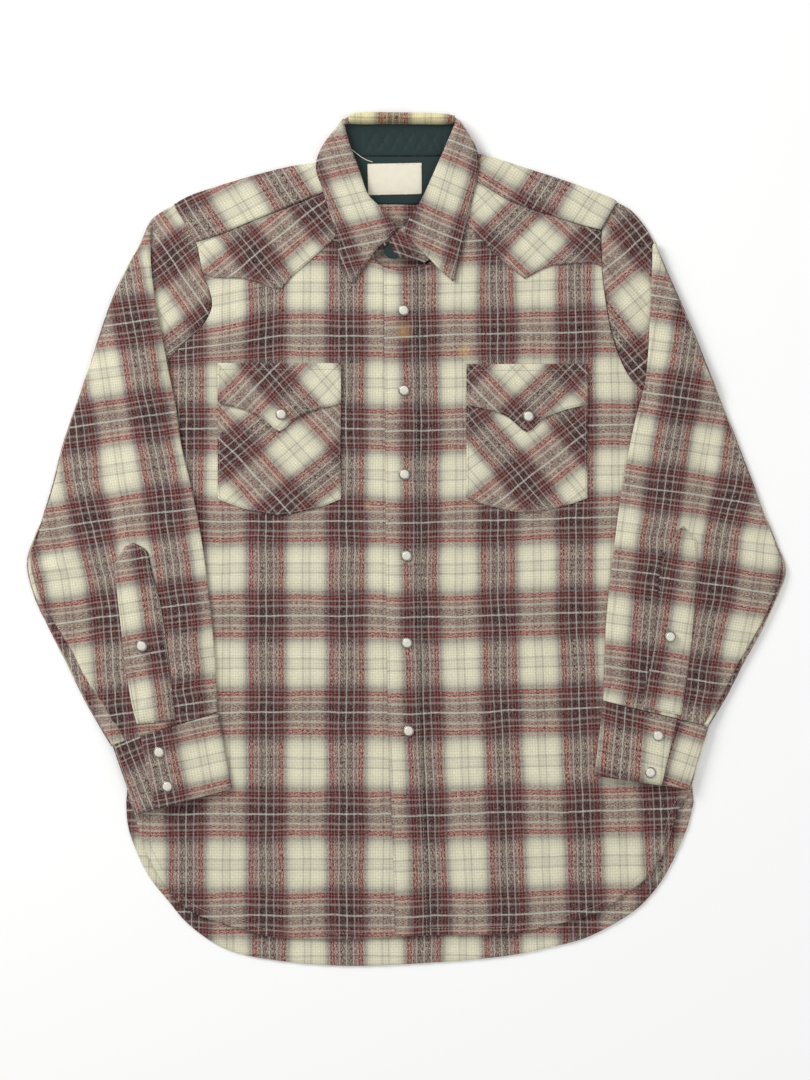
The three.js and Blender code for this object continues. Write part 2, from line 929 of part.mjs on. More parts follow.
// A wall of even thickness along rows of middle points. A closed one joins its last column to its first.
function wall(rows, thickness, closed) {
  const columns = rows[0].length;
  const normalAt = (r, c) => {
    const before = closed ? (c + columns - 1) % columns : Math.max(c - 1, 0);
    const after = closed ? (c + 1) % columns : Math.min(c + 1, columns - 1);
    const across = rows[r][after].clone().sub(rows[r][before]);
    const along = rows[Math.min(r + 1, rows.length - 1)][c].clone().sub(rows[Math.max(r - 1, 0)][c]);
    return across.cross(along).normalize();
  };
  const offset = (side) =>
    rows.map((row, r) => row.map((p, c) => p.clone().addScaledVector(normalAt(r, c), (side * thickness) / 2)));
  const outer = offset(1);
  const inner = offset(-1);
  const places = [...outer.flat(), ...inner.flat()].flatMap((p) => [p.x, p.y, p.z]);
  const low = rows.length * columns;
  const at = (r, c) => r * columns + (c % columns);
  const faces = [];
  const quad = (a, b, c, d) => faces.push(a, b, c, a, c, d);
  const spans = closed ? columns : columns - 1;
  for (let c = 0; c < spans; c++) {
    for (let r = 0; r + 1 < rows.length; r++) {
      quad(at(r, c), at(r, c + 1), at(r + 1, c + 1), at(r + 1, c));
      quad(low + at(r, c), low + at(r + 1, c), low + at(r + 1, c + 1), low + at(r, c + 1));
    }
    const last = rows.length - 1;
    quad(low + at(0, c), low + at(0, c + 1), at(0, c + 1), at(0, c));
    quad(at(last, c), at(last, c + 1), low + at(last, c + 1), low + at(last, c));
  }
  if (!closed) {
    const end = columns - 1;
    for (let r = 0; r + 1 < rows.length; r++) {
      quad(low + at(r + 1, 0), low + at(r, 0), at(r, 0), at(r + 1, 0));
      quad(low + at(r, end), low + at(r + 1, end), at(r + 1, end), at(r, end));
    }
  }
  return { solid: closedSolid(places, faces), outer, inner };
}

// How far across the arm each of its columns lies, at a section. Three of them follow the placket's edges.
function armColumns(side, section) {
  const { first, tip, cuff } = placketSections[side];
  const last = armSections[side].length - 1;
  const share = THREE.MathUtils.clamp((section - first) / (last - first), 0, 1);
  const [p, q, s] = tip.map((value, i) => lerp(value, cuff[i], share));
  return [0, p * 0.28, p * 0.62, p, q, s, lerp(s, 1, 0.36), lerp(s, 1, 0.72), 1];
}

const foldSteps = [0.32, 0.68];
const edgeRoom = 1.6;

function armRow(side, section) {
  const { outer, inner, puff } = armSections[side][section];
  const [ox, oy] = outer;
  const [ix, iy] = inner;
  const width = Math.hypot(ix - ox, iy - oy);
  const [ux, uy] = [(ix - ox) / width, (iy - oy) / width];
  const room = Math.min(edgeRoom, 0.5 + puff * 0.6);
  const radius = (cloth + room) / 2;
  const inset = Math.min(radius + cloth / 2, width * 0.46);
  const place = (share) => {
    const distance = lerp(inset, width - inset, share);
    return [ox + ux * distance, oy + uy * distance];
  };
  const low = ([x, y]) => support(side, x, y) + cloth / 2;
  const columns = armColumns(side, section);
  const under = columns.map((share) => {
    const [x, y] = place(share);
    return new THREE.Vector3(x, y, low([x, y]));
  });
  const over = columns.map((share, i) => {
    const lift = cloth + room + puff * Math.sin(Math.PI * share) ** 0.7;
    return under[i].clone().add(new THREE.Vector3(0, 0, lift));
  });
  const fold = (from, to, direction) =>
    foldSteps.map((step) => {
      const swing = Math.sin(step * Math.PI) * Math.min(radius, inset - cloth / 2) * direction;
      const rise = (1 - Math.cos(step * Math.PI)) / 2;
      return new THREE.Vector3(from.x + ux * swing, from.y + uy * swing, lerp(from.z, to.z, rise));
    });
  const end = columns.length - 1;
  return [
    ...over,
    ...fold(over[end], under[end], 1),
    ...reversed(under),
    ...fold(under[0], over[0], -1),
  ];
}

const arms = {};
for (const side of ["right", "left"]) {
  const rows = armSections[side].map((_, section) => armRow(side, section));
  arms[side] = wall(rows, cloth, true);
}

const makeSleeve = (side) => makeCap(side).add(arms[side].solid);

// The placket lies on the arm's own outer points, moved up.
function makePlacket(side) {
  const { first } = placketSections[side];
  const { outer, inner } = arms[side];
  const faceUp = outer[first][4].z > inner[first][4].z ? outer : inner;
  const rows = faceUp.slice(first).map((row) => row.slice(placketColumn, placketColumn + 3));
  rows[0] = rows[0].map((p, i) => p.clone().lerp(rows[0][1], i === 1 ? 0 : 0.45));
  const rise = (height) => rows.map((row) => row.map((p) => [p.x, p.y, p.z + height]));
  return skin(rise(gap + cloth), rise(gap));
}

// Cuffs: corners at the sleeve and at the hand, and how far across the overlap's edge lies at each.
const cuffs = {
  right: {
    sleeve: { outer: [-295, -207.6], inner: [-188.6, -173.1], lap: 0.26 },
    hand: { outer: [-270.5, -275.5], inner: [-174, -248.5], lap: 0.2 },
  },
  left: {
    sleeve: { outer: [302.6, -187.6], inner: [196.8, -161.6], lap: 0.3 },
    hand: { outer: [284.5, -250], inner: [187.6, -236], lap: 0.3 },
  },
};
const cuffRows = 4;
const lapDepth = 0.24;
const cuffRoom = 0.9;

function cuffRow(side, share) {
  const { sleeve, hand } = cuffs[side];
  const mix = (name) => [0, 1].map((i) => lerp(sleeve[name][i], hand[name][i], share));
  const [ox, oy] = mix("outer");
  const [ix, iy] = mix("inner");
  const lap = lerp(sleeve.lap, hand.lap, share);
  const width = Math.hypot(ix - ox, iy - oy);
  const [ux, uy] = [(ix - ox) / width, (iy - oy) / width];
  const radius = (doubled + cuffRoom) / 2;
  const inset = radius + doubled / 2;
  const point = (across, level) => {
    const distance = lerp(inset, width - inset, across);
    const [x, y] = [ox + ux * distance, oy + uy * distance];
    return new THREE.Vector3(x, y, support(side, x, y) + doubled / 2 + level);
  };
  const single = doubled + cuffRoom;
  const crossed = 2 * doubled + cuffRoom + gap + 0.2;
  const fold = (from, to, direction) =>
    foldSteps.map((step) => {
      const swing = Math.sin(step * Math.PI) * radius * direction;
      const rise = (1 - Math.cos(step * Math.PI)) / 2;
      return new THREE.Vector3(from.x + ux * swing, from.y + uy * swing, lerp(from.z, to.z, rise));
    });
  const hidden = [lap + lapDepth, lap, lap / 2, 0].map((a) => point(a, single));
  const under = [0, lap, 0.5, 0.75, 1].map((a) => point(a, 0));
  const over = [1, 0.8, lap + lapDepth + 0.12, lap + lapDepth, lap].map((a, i) =>
    point(a, i < 2 ? single + i * 0.8 : crossed),
  );
  return [
    ...hidden,
    ...fold(hidden[3], under[0], -1),
    ...under,
    ...fold(under[4], over[0], 1),
    ...over,
  ];
}

const cuffWalls = {};
for (const side of ["right", "left"]) {
  const rows = [];
  for (let r = 0; r < cuffRows; r++) rows.push(cuffRow(side, r / (cuffRows - 1)));
  cuffWalls[side] = wall(rows, doubled, false);
}

// Snaps: a pearl cap in a low metal rim.
const snapRadius = 5.7;
const snapHigh = 2.6;
const snapSides = 14;
const snapProfile = [
  [0, 0],
  [0.9, 0],
  [1, 0.3],
  [0.86, 0.55],
  [0.55, 0.92],
  [0, 1],
];

// Places of the snaps, and the piece that each one sits on.
const snaps = [
  { name: "snap_front_1", x: -3, y: 229, on: "band" },
  { name: "snap_front_2", x: -2.5, y: 149, on: "band" },
  { name: "snap_front_3", x: -2, y: 65, on: "band" },
  { name: "snap_front_4", x: 0, y: -16.5, on: "band" },
  { name: "snap_front_5", x: 0.4, y: -103.6, on: "band" },
  { name: "snap_front_6", x: 2, y: -191.6, on: "band" },
  { name: "snap_pocket_right", x: -125.3, y: 125, on: "flap" },
  { name: "snap_pocket_left", x: 122, y: 123, on: "flap" },
  { name: "snap_placket_right", x: -264.3, y: -106.5, on: "placket_right" },
  { name: "snap_placket_left", x: 263.3, y: -97.3, on: "placket_left" },
  { name: "snap_cuff_right_1", x: -247, y: -212.5, on: "cuff_right" },
  { name: "snap_cuff_right_2", x: -238.6, y: -246.5, on: "cuff_right" },
  { name: "snap_cuff_left_1", x: 251.2, y: -196, on: "cuff_left" },
  { name: "snap_cuff_left_2", x: 243.4, y: -232.7, on: "cuff_left" },
];

const seats = {
  band: yokeTop,
  flap: flapTop,
};

// The highest point of a solid below a snap's foot.
function heightUnder(solid, x, y) {
  const probe = prism(
    around.map(([dx, dy]) => [x + dx * snapRadius, y + dy * snapRadius]),
    -1,
    tall,
  );
  return solid.intersect(probe).boundingBox().max[2];
}

function makeSnap({ x, y, on }, solids) {
  const points = snapProfile.map(([r, z]) => new THREE.Vector2(r * snapRadius, z * snapHigh));
  const geometry = new THREE.LatheGeometry(points, snapSides).rotateX(Math.PI / 2);
  const seat = solids[on] ? heightUnder(solids[on], x, y) : seats[on](x, y);
  return toSolid(geometry.translate(x, y, seat + gap));
}

// Colours of the finishes; the plaid's own mean colour stands for the cloth.
const finishes = {
  plaid: { color: 0x8f8278, roughness: 0.95, metalness: 0 },
  lining: { color: 0x24302f, roughness: 0.7, metalness: 0 },
  label: { color: 0xe6dcc4, roughness: 0.8, metalness: 0 },
  pearl: { color: 0xefe9dc, roughness: 0.25, metalness: 0.1 },
};
const finish = Object.fromEntries(
  Object.entries(finishes).map(([name, look]) => [name, new THREE.MeshStandardMaterial(look)]),
);

const shirt = new THREE.Group();
const made = {};

function place(name, solid, look = "plaid") {
  const mesh = new THREE.Mesh(toGeometry(solid), finish[look].clone());
  mesh.name = name;
  made[name] = solid;
  shirt.add(mesh);
}

place("back", makeBack());
place("back_yoke", makeBackYoke());
place("neck_lining", makeNeckLining(), "lining");
place("neck_label", makeNeckLabel(), "label");
place("front_right", makeFrontRight());
place("front_left", makeFrontLeft());
place("front_band", makeFrontBand());
place("front_yoke_right", makeFrontYoke(yokeEdgeRight, armholeRight, strapSeamRight, neckRight));
place("front_yoke_left", makeFrontYoke(yokeEdgeLeft, armholeLeft, strapSeamLeft, neckLeft));
for (const side of ["right", "left"]) {
  place(`pocket_${side}`, makePocket(pockets[side]));
  place(`pocket_flap_${side}`, makePocketFlap(pockets[side]));
  place(`sleeve_${side}`, makeSleeve(side));
  place(`sleeve_placket_${side}`, makePlacket(side));
  place(`cuff_${side}`, cuffWalls[side].solid);
}
place("collar_stand", makeCollarStand());
place("stand_lining", makeStandLining(), "lining");
place("collar_leaf", makeCollarLeaf());

const snapSeats = {
  band: made.front_band,
  placket_right: made.sleeve_placket_right,
  placket_left: made.sleeve_placket_left,
  cuff_right: made.cuff_right,
  cuff_left: made.cuff_left,
};
for (const snap of snaps) place(snap.name, makeSnap(snap, snapSeats), "pearl");

// The origin is the middle of the whole shirt, on the surface it lies on.
const box = new THREE.Box3().setFromObject(shirt);
const middle = box.getCenter(new THREE.Vector3());
shirt.position.set(-middle.x, -middle.y, -box.min.z);

export default shirt;
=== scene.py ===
import math

import bpy
import numpy as np
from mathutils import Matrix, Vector
from mathutils.geometry import delaunay_2d_cdt


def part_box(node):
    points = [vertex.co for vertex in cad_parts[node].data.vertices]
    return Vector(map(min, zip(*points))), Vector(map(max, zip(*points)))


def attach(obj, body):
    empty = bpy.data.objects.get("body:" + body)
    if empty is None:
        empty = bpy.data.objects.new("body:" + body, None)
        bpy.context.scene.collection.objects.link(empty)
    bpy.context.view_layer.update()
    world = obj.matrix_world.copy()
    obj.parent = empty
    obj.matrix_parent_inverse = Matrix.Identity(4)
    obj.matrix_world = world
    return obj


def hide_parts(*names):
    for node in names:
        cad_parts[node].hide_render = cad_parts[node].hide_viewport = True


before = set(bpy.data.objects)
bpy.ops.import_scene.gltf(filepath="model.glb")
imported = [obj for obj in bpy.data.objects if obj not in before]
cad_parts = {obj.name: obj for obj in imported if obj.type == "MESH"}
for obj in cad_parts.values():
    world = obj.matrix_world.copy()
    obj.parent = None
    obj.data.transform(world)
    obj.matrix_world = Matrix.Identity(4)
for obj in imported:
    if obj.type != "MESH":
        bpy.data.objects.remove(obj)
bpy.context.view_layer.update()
print("stage: frame loaded")

# The shirt's numbers are in millimetres; meshes are made in metres.
mm = 0.001
scene = bpy.context.scene
scene.view_settings.view_transform = "Standard"

stage = {
    "eyeHeight": 2.558,
    "lens": 85,
    "eyeShiftX": -1.5,
    "eyeShiftY": -0.5,
    "floorColor": (0.97, 0.97, 0.965, 1),
    "worldStrength": 0.53,
}
lamps = [
    {"name": "keySoft", "place": (-1.9, 1.7, 1.6), "size": 1.3, "power": 68},
    {"name": "fillSoft", "place": (1.6, -0.9, 2.6), "size": 2.2, "power": 20},
]


# A table's rows: the names of its columns, and the values row by row.
def tableOf(names, *rows):
    return [dict(zip(names.split(), row)) for row in rows]


# Outlines


def splineEdge(points, step=3.0):
    p = np.array(points, float)
    padded = np.vstack([p[:1], p, p[-1:]])
    dense = []
    for i in range(len(p) - 1):
        a, b, c, d = padded[i : i + 4]
        t = np.linspace(0, 1, 24, endpoint=False)[:, None]
        dense.append(
            0.5 * (
                2 * b + (c - a) * t + (2 * a - 5 * b + 4 * c - d) * t**2 + (3 * b - a - 3 * c + d) * t**3
            )
        )
    return resample(np.vstack(dense + [p[-1:]]), step)


def resample(points, step):
    p = np.array(points, float)
    along = np.concatenate([[0], np.cumsum(np.linalg.norm(np.diff(p, axis=0), axis=1))])
    count = max(1, int(round(along[-1] / step)))
    at = np.linspace(0, along[-1], count + 1)
    return np.column_stack([np.interp(at, along, p[:, k]) for k in range(p.shape[1])])


def movedEdge(points, distance):
    p = np.array(points, float)
    direction = np.gradient(p, axis=0)
    direction /= np.linalg.norm(direction, axis=1)[:, None] + 1e-9
    return p + np.column_stack([-direction[:, 1], direction[:, 0]]) * distance


def between(points, low, high):
    kept = []
    p = np.array(points, float)
    for i in range(len(p)):
        if low <= p[i, 1] <= high:
            kept.append(p[i])
        if i + 1 < len(p):
            levels = [v for v in (low, high) if (p[i, 1] - v) * (p[i + 1, 1] - v) < 0]
            if p[i + 1, 1] < p[i, 1]:
                levels.reverse()
            for v in levels:
                t = (v - p[i, 1]) / (p[i + 1, 1] - p[i, 1])
                kept.append(p[i] + (p[i + 1] - p[i]) * t)
    return np.array(kept)


# Straight-sided runs of points are filled in, so that every outline has points all along it.
def outlineOf(*edges, step=3.0):
    loop = np.vstack([np.array(e, float) for e in edges])
    dense = []
    for a, b in zip(loop, np.roll(loop, -1, axis=0)):
        length = np.linalg.norm(b - a)
        if length < 0.35:
            continue
        count = max(1, int(round(length / step)))
        dense.append(a + (b - a) * np.linspace(0, 1, count, endpoint=False)[:, None])
    return np.vstack(dense)


def distanceTo(points, line, closed=False):
    a = np.array(line, float)
    b = np.roll(a, -1, axis=0) if closed else a[1:]
    a = a if closed else a[:-1]
    ab = b - a
    lengths = (ab**2).sum(axis=1) + 1e-12
    out = np.empty(len(points))
    for start in range(0, len(points), 4000):
        p = points[start : start + 4000, None, :]
        t = np.clip(((p - a) * ab).sum(axis=2) / lengths, 0, 1)
        out[start : start + 4000] = np.sqrt((((a + t[..., None] * ab) - p) ** 2).sum(axis=2)).min(axis=1)
    return out


def insideOf(points, loop):
    a = np.array(loop, float)
    b = np.roll(a, -1, axis=0)
    out = np.zeros(len(points), bool)
    for start in range(0, len(points), 4000):
        x, y = points[start : start + 4000, :1], points[start : start + 4000, 1:2]
        crosses = (a[:, 1] > y) != (b[:, 1] > y)
        span = np.where(np.abs(b[:, 1] - a[:, 1]) < 1e-9, 1e-9, b[:, 1] - a[:, 1])
        left = x < a[:, 0] + (b[:, 0] - a[:, 0]) * (y - a[:, 1]) / span
        out[start : start + 4000] = (crosses & left).sum(axis=1) % 2 == 1
    return out


def smooth(x, low, high):
    t = np.clip((np.asarray(x, float) - low) / (high - low), 0, 1)
    return t * t * (3 - 2 * t)


def column(table, name, y):
    return np.interp(y, [row["y"] for row in table], [row[name] for row in table])


# The shirt's own form, as it was laid

form = {
    "cloth": 1.2,
    "doubled": 2.0,
    "gap": 0.3,
    "frontLift": 2.8,
    "neckLift": 3.9,
    "hemLift": 0.5,
    "relief": 0.56,
    "pitch": 3.6,
}

bodySides = tableOf(
    "y left right",
    (-430, -284, 291), (-263, -281, 288), (142, -249, 248), (345, -238, 222), (430, -238, 222),
)

# Folds and creases: middle, direction in degrees, half length, half width and height of each.
frontFolds = tableOf(
    "x y turn long wide high",
    (-172, 205, 32, 62, 16, 2.6), (-205, 150, 62, 60, 15, 1.8), (186, 196, 112, 70, 15, 2.2),
    (-45, -250, 82, 120, 26, 1.5), (70, -300, 98, 90, 24, 1.3), (-150, -90, 70, 110, 28, 1.4),
    (120, -120, 104, 120, 30, 1.3), (-190, -300, 50, 60, 22, 1.4), (205, -290, 124, 60, 22, 1.4),
)
frontCreases = tableOf(
    "x y turn long wide high",
    (-178, 190, 34, 34, 5, -1.1), (-158, 206, 28, 26, 4, 0.9), (-184, 214, 40, 30, 4.5, -0.7),
    (196, 226, 104, 34, 5, -0.9), (178, 232, 96, 24, 4, 0.6), (-36, 205, 74, 40, 7, 0.5),
    (44, 214, 112, 34, 6, 0.5), (-96, -12, 12, 46, 8, -0.45), (92, -38, 168, 52, 8, 0.4),
    (-70, -168, 64, 52, 8, -0.5), (150, -214, 118, 48, 7, 0.5), (60, -352, 84, 36, 6, 0.6),
    (108, -360, 98, 30, 5, -0.5), (-60, -362, 92, 32, 5, 0.6), (-132, -352, 76, 34, 6, -0.5),
    (190, -338, 132, 26, 5, 0.7), (-166, 194, 31, 32, 5, 0.9), (-110, -190, 84, 120, 15, 0.7),
    (118, -150, 97, 130, 17, 0.7), (168, 168, 148, 30, 5, 0.8),
)


def foldHeight(folds, x, y):
    total = np.zeros(np.shape(x))
    for f in folds:
        turn = math.radians(f["turn"])
        along = (x - f["x"]) * math.cos(turn) + (y - f["y"]) * math.sin(turn)
        across = (y - f["y"]) * math.cos(turn) - (x - f["x"]) * math.sin(turn)
        total = total + f["high"] * np.exp(-((along / f["long"]) ** 2) - (across / f["wide"]) ** 2)
    return total


# Low, uneven waves that a laid flannel keeps after smoothing by hand.
def relief(x, y, size=1.0):
    waves = (
        np.sin(x / 31 + 1.3 * np.sin(y / 57)) * np.sin(y / 43 + 0.9 * np.sin(x / 39 + 1.1))
        + 0.5 * np.sin(x / 14.3 + y / 23 + 2 * np.sin(y / 71)) * np.sin(y / 17.1 - x / 41)
        + 0.24 * np.sin(x / 7.1 - y / 11.7) * np.sin(y / 8.3 + x / 19 + 0.7)
    )
    return form["relief"] * size * waves


backTop = form["cloth"]


def sideInset(x, y):
    return np.minimum(x - column(bodySides, "left", y), column(bodySides, "right", y) - x)


def frontUnder(x, y):
    side = smooth(sideInset(x, y), 0, 34)
    hem = smooth(y, -405, -250)
    neck = smooth(y, 215, 330) * (1 - smooth(np.abs(x + 8), 80, 190))
    lift = form["hemLift"] + (form["frontLift"] - form["hemLift"]) * hem
    lift = lift + (form["neckLift"] - lift) * neck
    shape = foldHeight(frontFolds, x, y) + foldHeight(frontCreases, x, y) + relief(x, y)
    return backTop + form["gap"] + side * (lift + shape)


def frontTop(x, y):
    return frontUnder(x, y) + form["cloth"]


def onFront(x, y):
    return frontTop(x, y) + form["gap"]


def yokeTop(x, y):
    return onFront(x, y) + form["cloth"]


bandWidth = 34
bandLap = 5
bandPoints = [[-11, -397], [-14, -300], [-19, -160], [-21, 60], [-23, 272]]

armholeRight = splineEdge(
    [[-232.5, 335], [-215.6, 309], [-209, 292], [-204, 267], [-197, 249], [-195, 232], [-205, 213]]
    + [[-222, 197], [-240, 177], [-249, 158], [-249.4, 142]]
)
armholeLeft = splineEdge(
    [[210, 337.5], [199.4, 321], [194.5, 304], [195.3, 274], [198, 248], [204, 212], [211, 188]]
    + [[222, 165], [236, 150], [248.4, 142]]
)
strapSeamRight = splineEdge([[-211, 298], [-188, 305], [-154, 319], [-116, 334], [-70, 353]])
strapSeamLeft = splineEdge([[194.5, 310], [168, 317], [122, 332], [97, 342], [62, 364]])
neckRight = splineEdge([[-70, 353], [-62, 325], [-49, 300], [-35, 283], [-21, 271]])
neckLeft = splineEdge([[62, 364], [56, 338], [46, 312], [34, 291], [20, 275]])
backHem = splineEdge(
    [[-281, -263], [-279, -288], [-270, -314], [-258, -338], [-239, -362], [-218, -386], [-184, -409]]
    + [[-137, -421], [-57, -427.4], [43, -423], [103, -417], [143, -409], [183, -398], [226, -374]]
    + [[250, -350], [266, -324], [281, -290], [288, -263]]
)
centreRight = splineEdge([[x + bandWidth - bandLap, y] for x, y in bandPoints])
centreLeft = centreRight + np.array([form["gap"], 0])
hemEnd = centreRight[0]
frontHemRight = splineEdge(
    [[-280.3, -255], [-272, -276], [-263, -308], [-246, -340], [-228, -363], [-207, -377]]
    + [[-173, -388], [-135, -398], [-73, -401], [-37, -400], [hemEnd[0], -396.6]]
)
frontHemLeft = splineEdge(
    [[hemEnd[0] + form["gap"], -396.6], [62, -396], [100, -395], [131, -390], [191, -374], [220, -354]]
    + [[236, -343], [252, -323], [262, -303], [272, -272], [286.6, -250]]
)
shoulderRight = splineEdge([[-232.5, 335], [-217, 343], [-197, 350], [-157, 362], [-117, 372], [-86, 377]])
shoulderLeft = splineEdge([[210, 337.5], [203, 341.5], [163, 356.5], [123, 369.5], [83, 382], [66, 385]])
yokeSeam = np.array([[-200, 256], [-104, 244], [-3, 204], [98, 244], [197, 256]], float)
backNeck = splineEdge([[-86, 377], [-40, 382], [20, 384], [66, 385]])


# Meshes


# A face at one height.
def level(z):
    return lambda x, y: z + 0 * x


# A sheet swells a little inside its edge, between two distances from it.
def swell(height, near, far):
    return lambda x, y, edgeFar: height * smooth(edgeFar, near, far)


def newObject(name, points, faces, uv=None):
    mesh = bpy.data.meshes.new(name)
    mesh.from_pydata((np.asarray(points) * mm).tolist(), [], [list(f) for f in faces])
    mesh.polygons.foreach_set("use_smooth", np.ones(len(mesh.polygons), bool))
    if uv is not None:
        loops = np.empty(len(mesh.loops), int)
        mesh.loops.foreach_get("vertex_index", loops)
        layer = mesh.uv_layers.new(name="plaid")
        layer.data.foreach_set("uv", np.asarray(uv, float)[loops].astype(np.float32).ravel())
    mesh.update()
    piece = bpy.data.objects.new(name, mesh)
    scene.collection.objects.link(piece)
    return piece


# How a sheet's points are spread, and how its edge and its seams are softened.
sheetForm = {
    "rowShare": 0.87,
    "gridClear": 0.62,
    "rimIn": 0.8,
    "rimClear": 0.7,
    "seamStep": 2.4,
    "seamSides": (-1.3, 0, 1.3),
    "seamClear": 1.7,
    "seamEdgeClear": 1.2,
    "rimSeamClear": 0.6,
    "seamWide": 1.1,
    "edgeDrop": 0.42,
    "footRise": 0.3,
}


# A flat-cut sheet: its outline, its upper surface and its thickness. Its edge is softly rounded, and
# it sinks a little along its rows of stitches.
def clothSheet(
    name, outline, top, uv, thickness=1.2, pitch=None, seams=(), seamDepth=0.32, under=None, extra=None
):
    pitch = pitch or form["pitch"]
    loop = np.asarray(outline, float)
    low, high = loop.min(axis=0), loop.max(axis=0)
    rows = np.arange(low[1] + pitch / 2, high[1], pitch * sheetForm["rowShare"])
    grid = []
    for i, y in enumerate(rows):
        xs = np.arange(low[0] + (pitch / 2 if i % 2 else 0), high[0], pitch)
        grid.append(np.column_stack([xs, np.full(len(xs), y)]))
    grid = np.vstack(grid)
    grid = grid[insideOf(grid, loop)]
    grid = grid[distanceTo(grid, loop, True) > pitch * sheetForm["gridClear"]]
    area = 0.5 * np.sum(loop[:, 0] * np.roll(loop[:, 1], -1) - np.roll(loop[:, 0], -1) * loop[:, 1])
    inward = 1 if area > 0 else -1
    closed = np.vstack([loop[-1:], loop, loop[:1]])
    rim = movedEdge(closed, inward * sheetForm["rimIn"])[1:-1]
    rim = rim[insideOf(rim, loop)]
    rim = rim[distanceTo(rim, loop, True) > sheetForm["rimClear"]]
    lines = []
    for seam in seams:
        line = resample(seam, sheetForm["seamStep"])
        for offset in sheetForm["seamSides"]:
            lines.append(movedEdge(line, offset))
    if lines:
        rows = np.vstack(lines)
        near = distanceTo(grid, rows)
        grid = grid[near > sheetForm["seamClear"]]
        rows = rows[insideOf(rows, loop)]
        rows = rows[distanceTo(rows, loop, True) > sheetForm["seamEdgeClear"]]
        rim = rim[distanceTo(rim, np.vstack(lines)) > sheetForm["rimSeamClear"]]
        grid = np.vstack([grid, rows])
    points = np.vstack([loop, rim, grid])
    made = delaunay_2d_cdt(
        [Vector(p) for p in points.tolist()], [], [list(range(len(loop)))], 1, 1e-4, False
    )
    flat = np.array([v[:] for v in made[0]], float)
    faces = np.array([f for f in made[2] if len(f) == 3])
    faces = faces[insideOf(flat[faces].mean(axis=1), loop)]
    used = np.unique(faces.ravel())
    renumber = np.full(len(flat), -1)
    renumber[used] = np.arange(len(used))
    flat = flat[used]
    faces = renumber[faces]
    a, b, c = flat[faces[:, 0]], flat[faces[:, 1]], flat[faces[:, 2]]
    turned = (b[:, 0] - a[:, 0]) * (c[:, 1] - a[:, 1]) - (b[:, 1] - a[:, 1]) * (c[:, 0] - a[:, 0]) < 0
    faces[turned] = faces[turned][:, ::-1]
    edgeFar = distanceTo(flat, loop, True)
    x, y = flat[:, 0], flat[:, 1]
    rounding = (1 - np.clip(edgeFar, 0, 1)) ** 2
    height = top(x, y) - sheetForm["edgeDrop"] * rounding
    if extra is not None:
        height = height + extra(x, y, edgeFar)
    for seam in seams:
        height = height - seamDepth * np.exp(
            -((distanceTo(flat, resample(seam, 4)) / sheetForm["seamWide"]) ** 2)
        )
    bottom = top(x, y) - thickness if under is None else under(x, y)
    bottom = bottom + sheetForm["footRise"] * rounding
    n = len(flat)
    sides = {(f[i], f[(i + 1) % 3]): True for f in faces for i in range(3)}
    rimEdges = [(i, j) for (i, j) in sides if (j, i) not in sides]
    allFaces = [tuple(f) for f in faces] + [tuple(f[::-1] + n) for f in faces]
    allFaces += [(i, i + n, j + n, j) for i, j in rimEdges]
    place = np.vstack([np.column_stack([flat, height]), np.column_stack([flat, bottom])])
    cut = uv(x, y)
    return newObject(name, place, allFaces, np.vstack([cut, cut]))


# A wall of even thickness over a lattice of middle points, rows by columns. A closed one is a tube.
def clothWall(name, rows, uv, thickness, closed=False):
    p = np.asarray(rows, float)
    count, wide = p.shape[:2]
    across = np.roll(p, -1, axis=1) - np.roll(p, 1, axis=1)
    if not closed:
        across[:, 0] = p[:, 1] - p[:, 0]
        across[:, -1] = p[:, -1] - p[:, -2]
    along = np.gradient(p, axis=0)
    normal = np.cross(across, along)
    normal /= np.linalg.norm(normal, axis=2)[..., None] + 1e-12
    outer, inner = p + normal * thickness / 2, p - normal * thickness / 2
    n = count * wide
    at = np.arange(n).reshape(count, wide)
    nxt = np.roll(at, -1, axis=1)
    spans = wide if closed else wide - 1
    a, b = at[:-1, :spans].ravel(), nxt[:-1, :spans].ravel()
    c, d = nxt[1:, :spans].ravel(), at[1:, :spans].ravel()
    faces = np.vstack([np.column_stack([a, b, c, d]), np.column_stack([a, d, c, b]) + n])
    ends = []
    for row, flip in ((0, False), (count - 1, True)):
        e, f = at[row, :spans], nxt[row, :spans]
        quad = np.column_stack([e, e + n, f + n, f])
        ends.append(quad[:, ::-1] if flip else quad)
    if not closed:
        for col, flip in ((0, True), (wide - 1, False)):
            e, f = at[:-1, col], at[1:, col]
            quad = np.column_stack([e, e + n, f + n, f])
            ends.append(quad[:, ::-1] if flip else quad)
    faces = np.vstack([faces] + ends)
    place = np.vstack([outer.reshape(-1, 3), inner.reshape(-1, 3)])
    cut = np.asarray(uv, float).reshape(-1, 2)
    piece = newObject(name, place, faces, np.vstack([cut, cut]))
    outward(piece)
    return piece


def outward(piece):
    bpy.ops.object.select_all(action="DESELECT")
    bpy.context.view_layer.objects.active = piece
    piece.select_set(True)
    bpy.ops.object.mode_set(mode="EDIT")
    bpy.ops.mesh.select_all(action="SELECT")
    bpy.ops.mesh.normals_make_consistent(inside=False)
    bpy.ops.object.mode_set(mode="OBJECT")


# Gives a piece its material, hangs it under the frame's root, and hides the frame's nodes that it stands
# for.
def declare(piece, face, nodes):
    piece.data.materials.append(face)
    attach(piece, "root")
    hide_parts(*nodes)
    return piece


# Materials


def newTree(name, outputs, inputs=(("Vector", "NodeSocketVector"),)):
    tree = bpy.data.node_groups.new(name, "ShaderNodeTree")
    for label, kind in inputs:
        tree.interface.new_socket(label, in_out="INPUT", socket_type=kind)
    for label, kind in outputs:
        tree.interface.new_socket(label, in_out="OUTPUT", socket_type=kind)
    return tree, tree.nodes.new("NodeGroupInput"), tree.nodes.new("NodeGroupOutput")


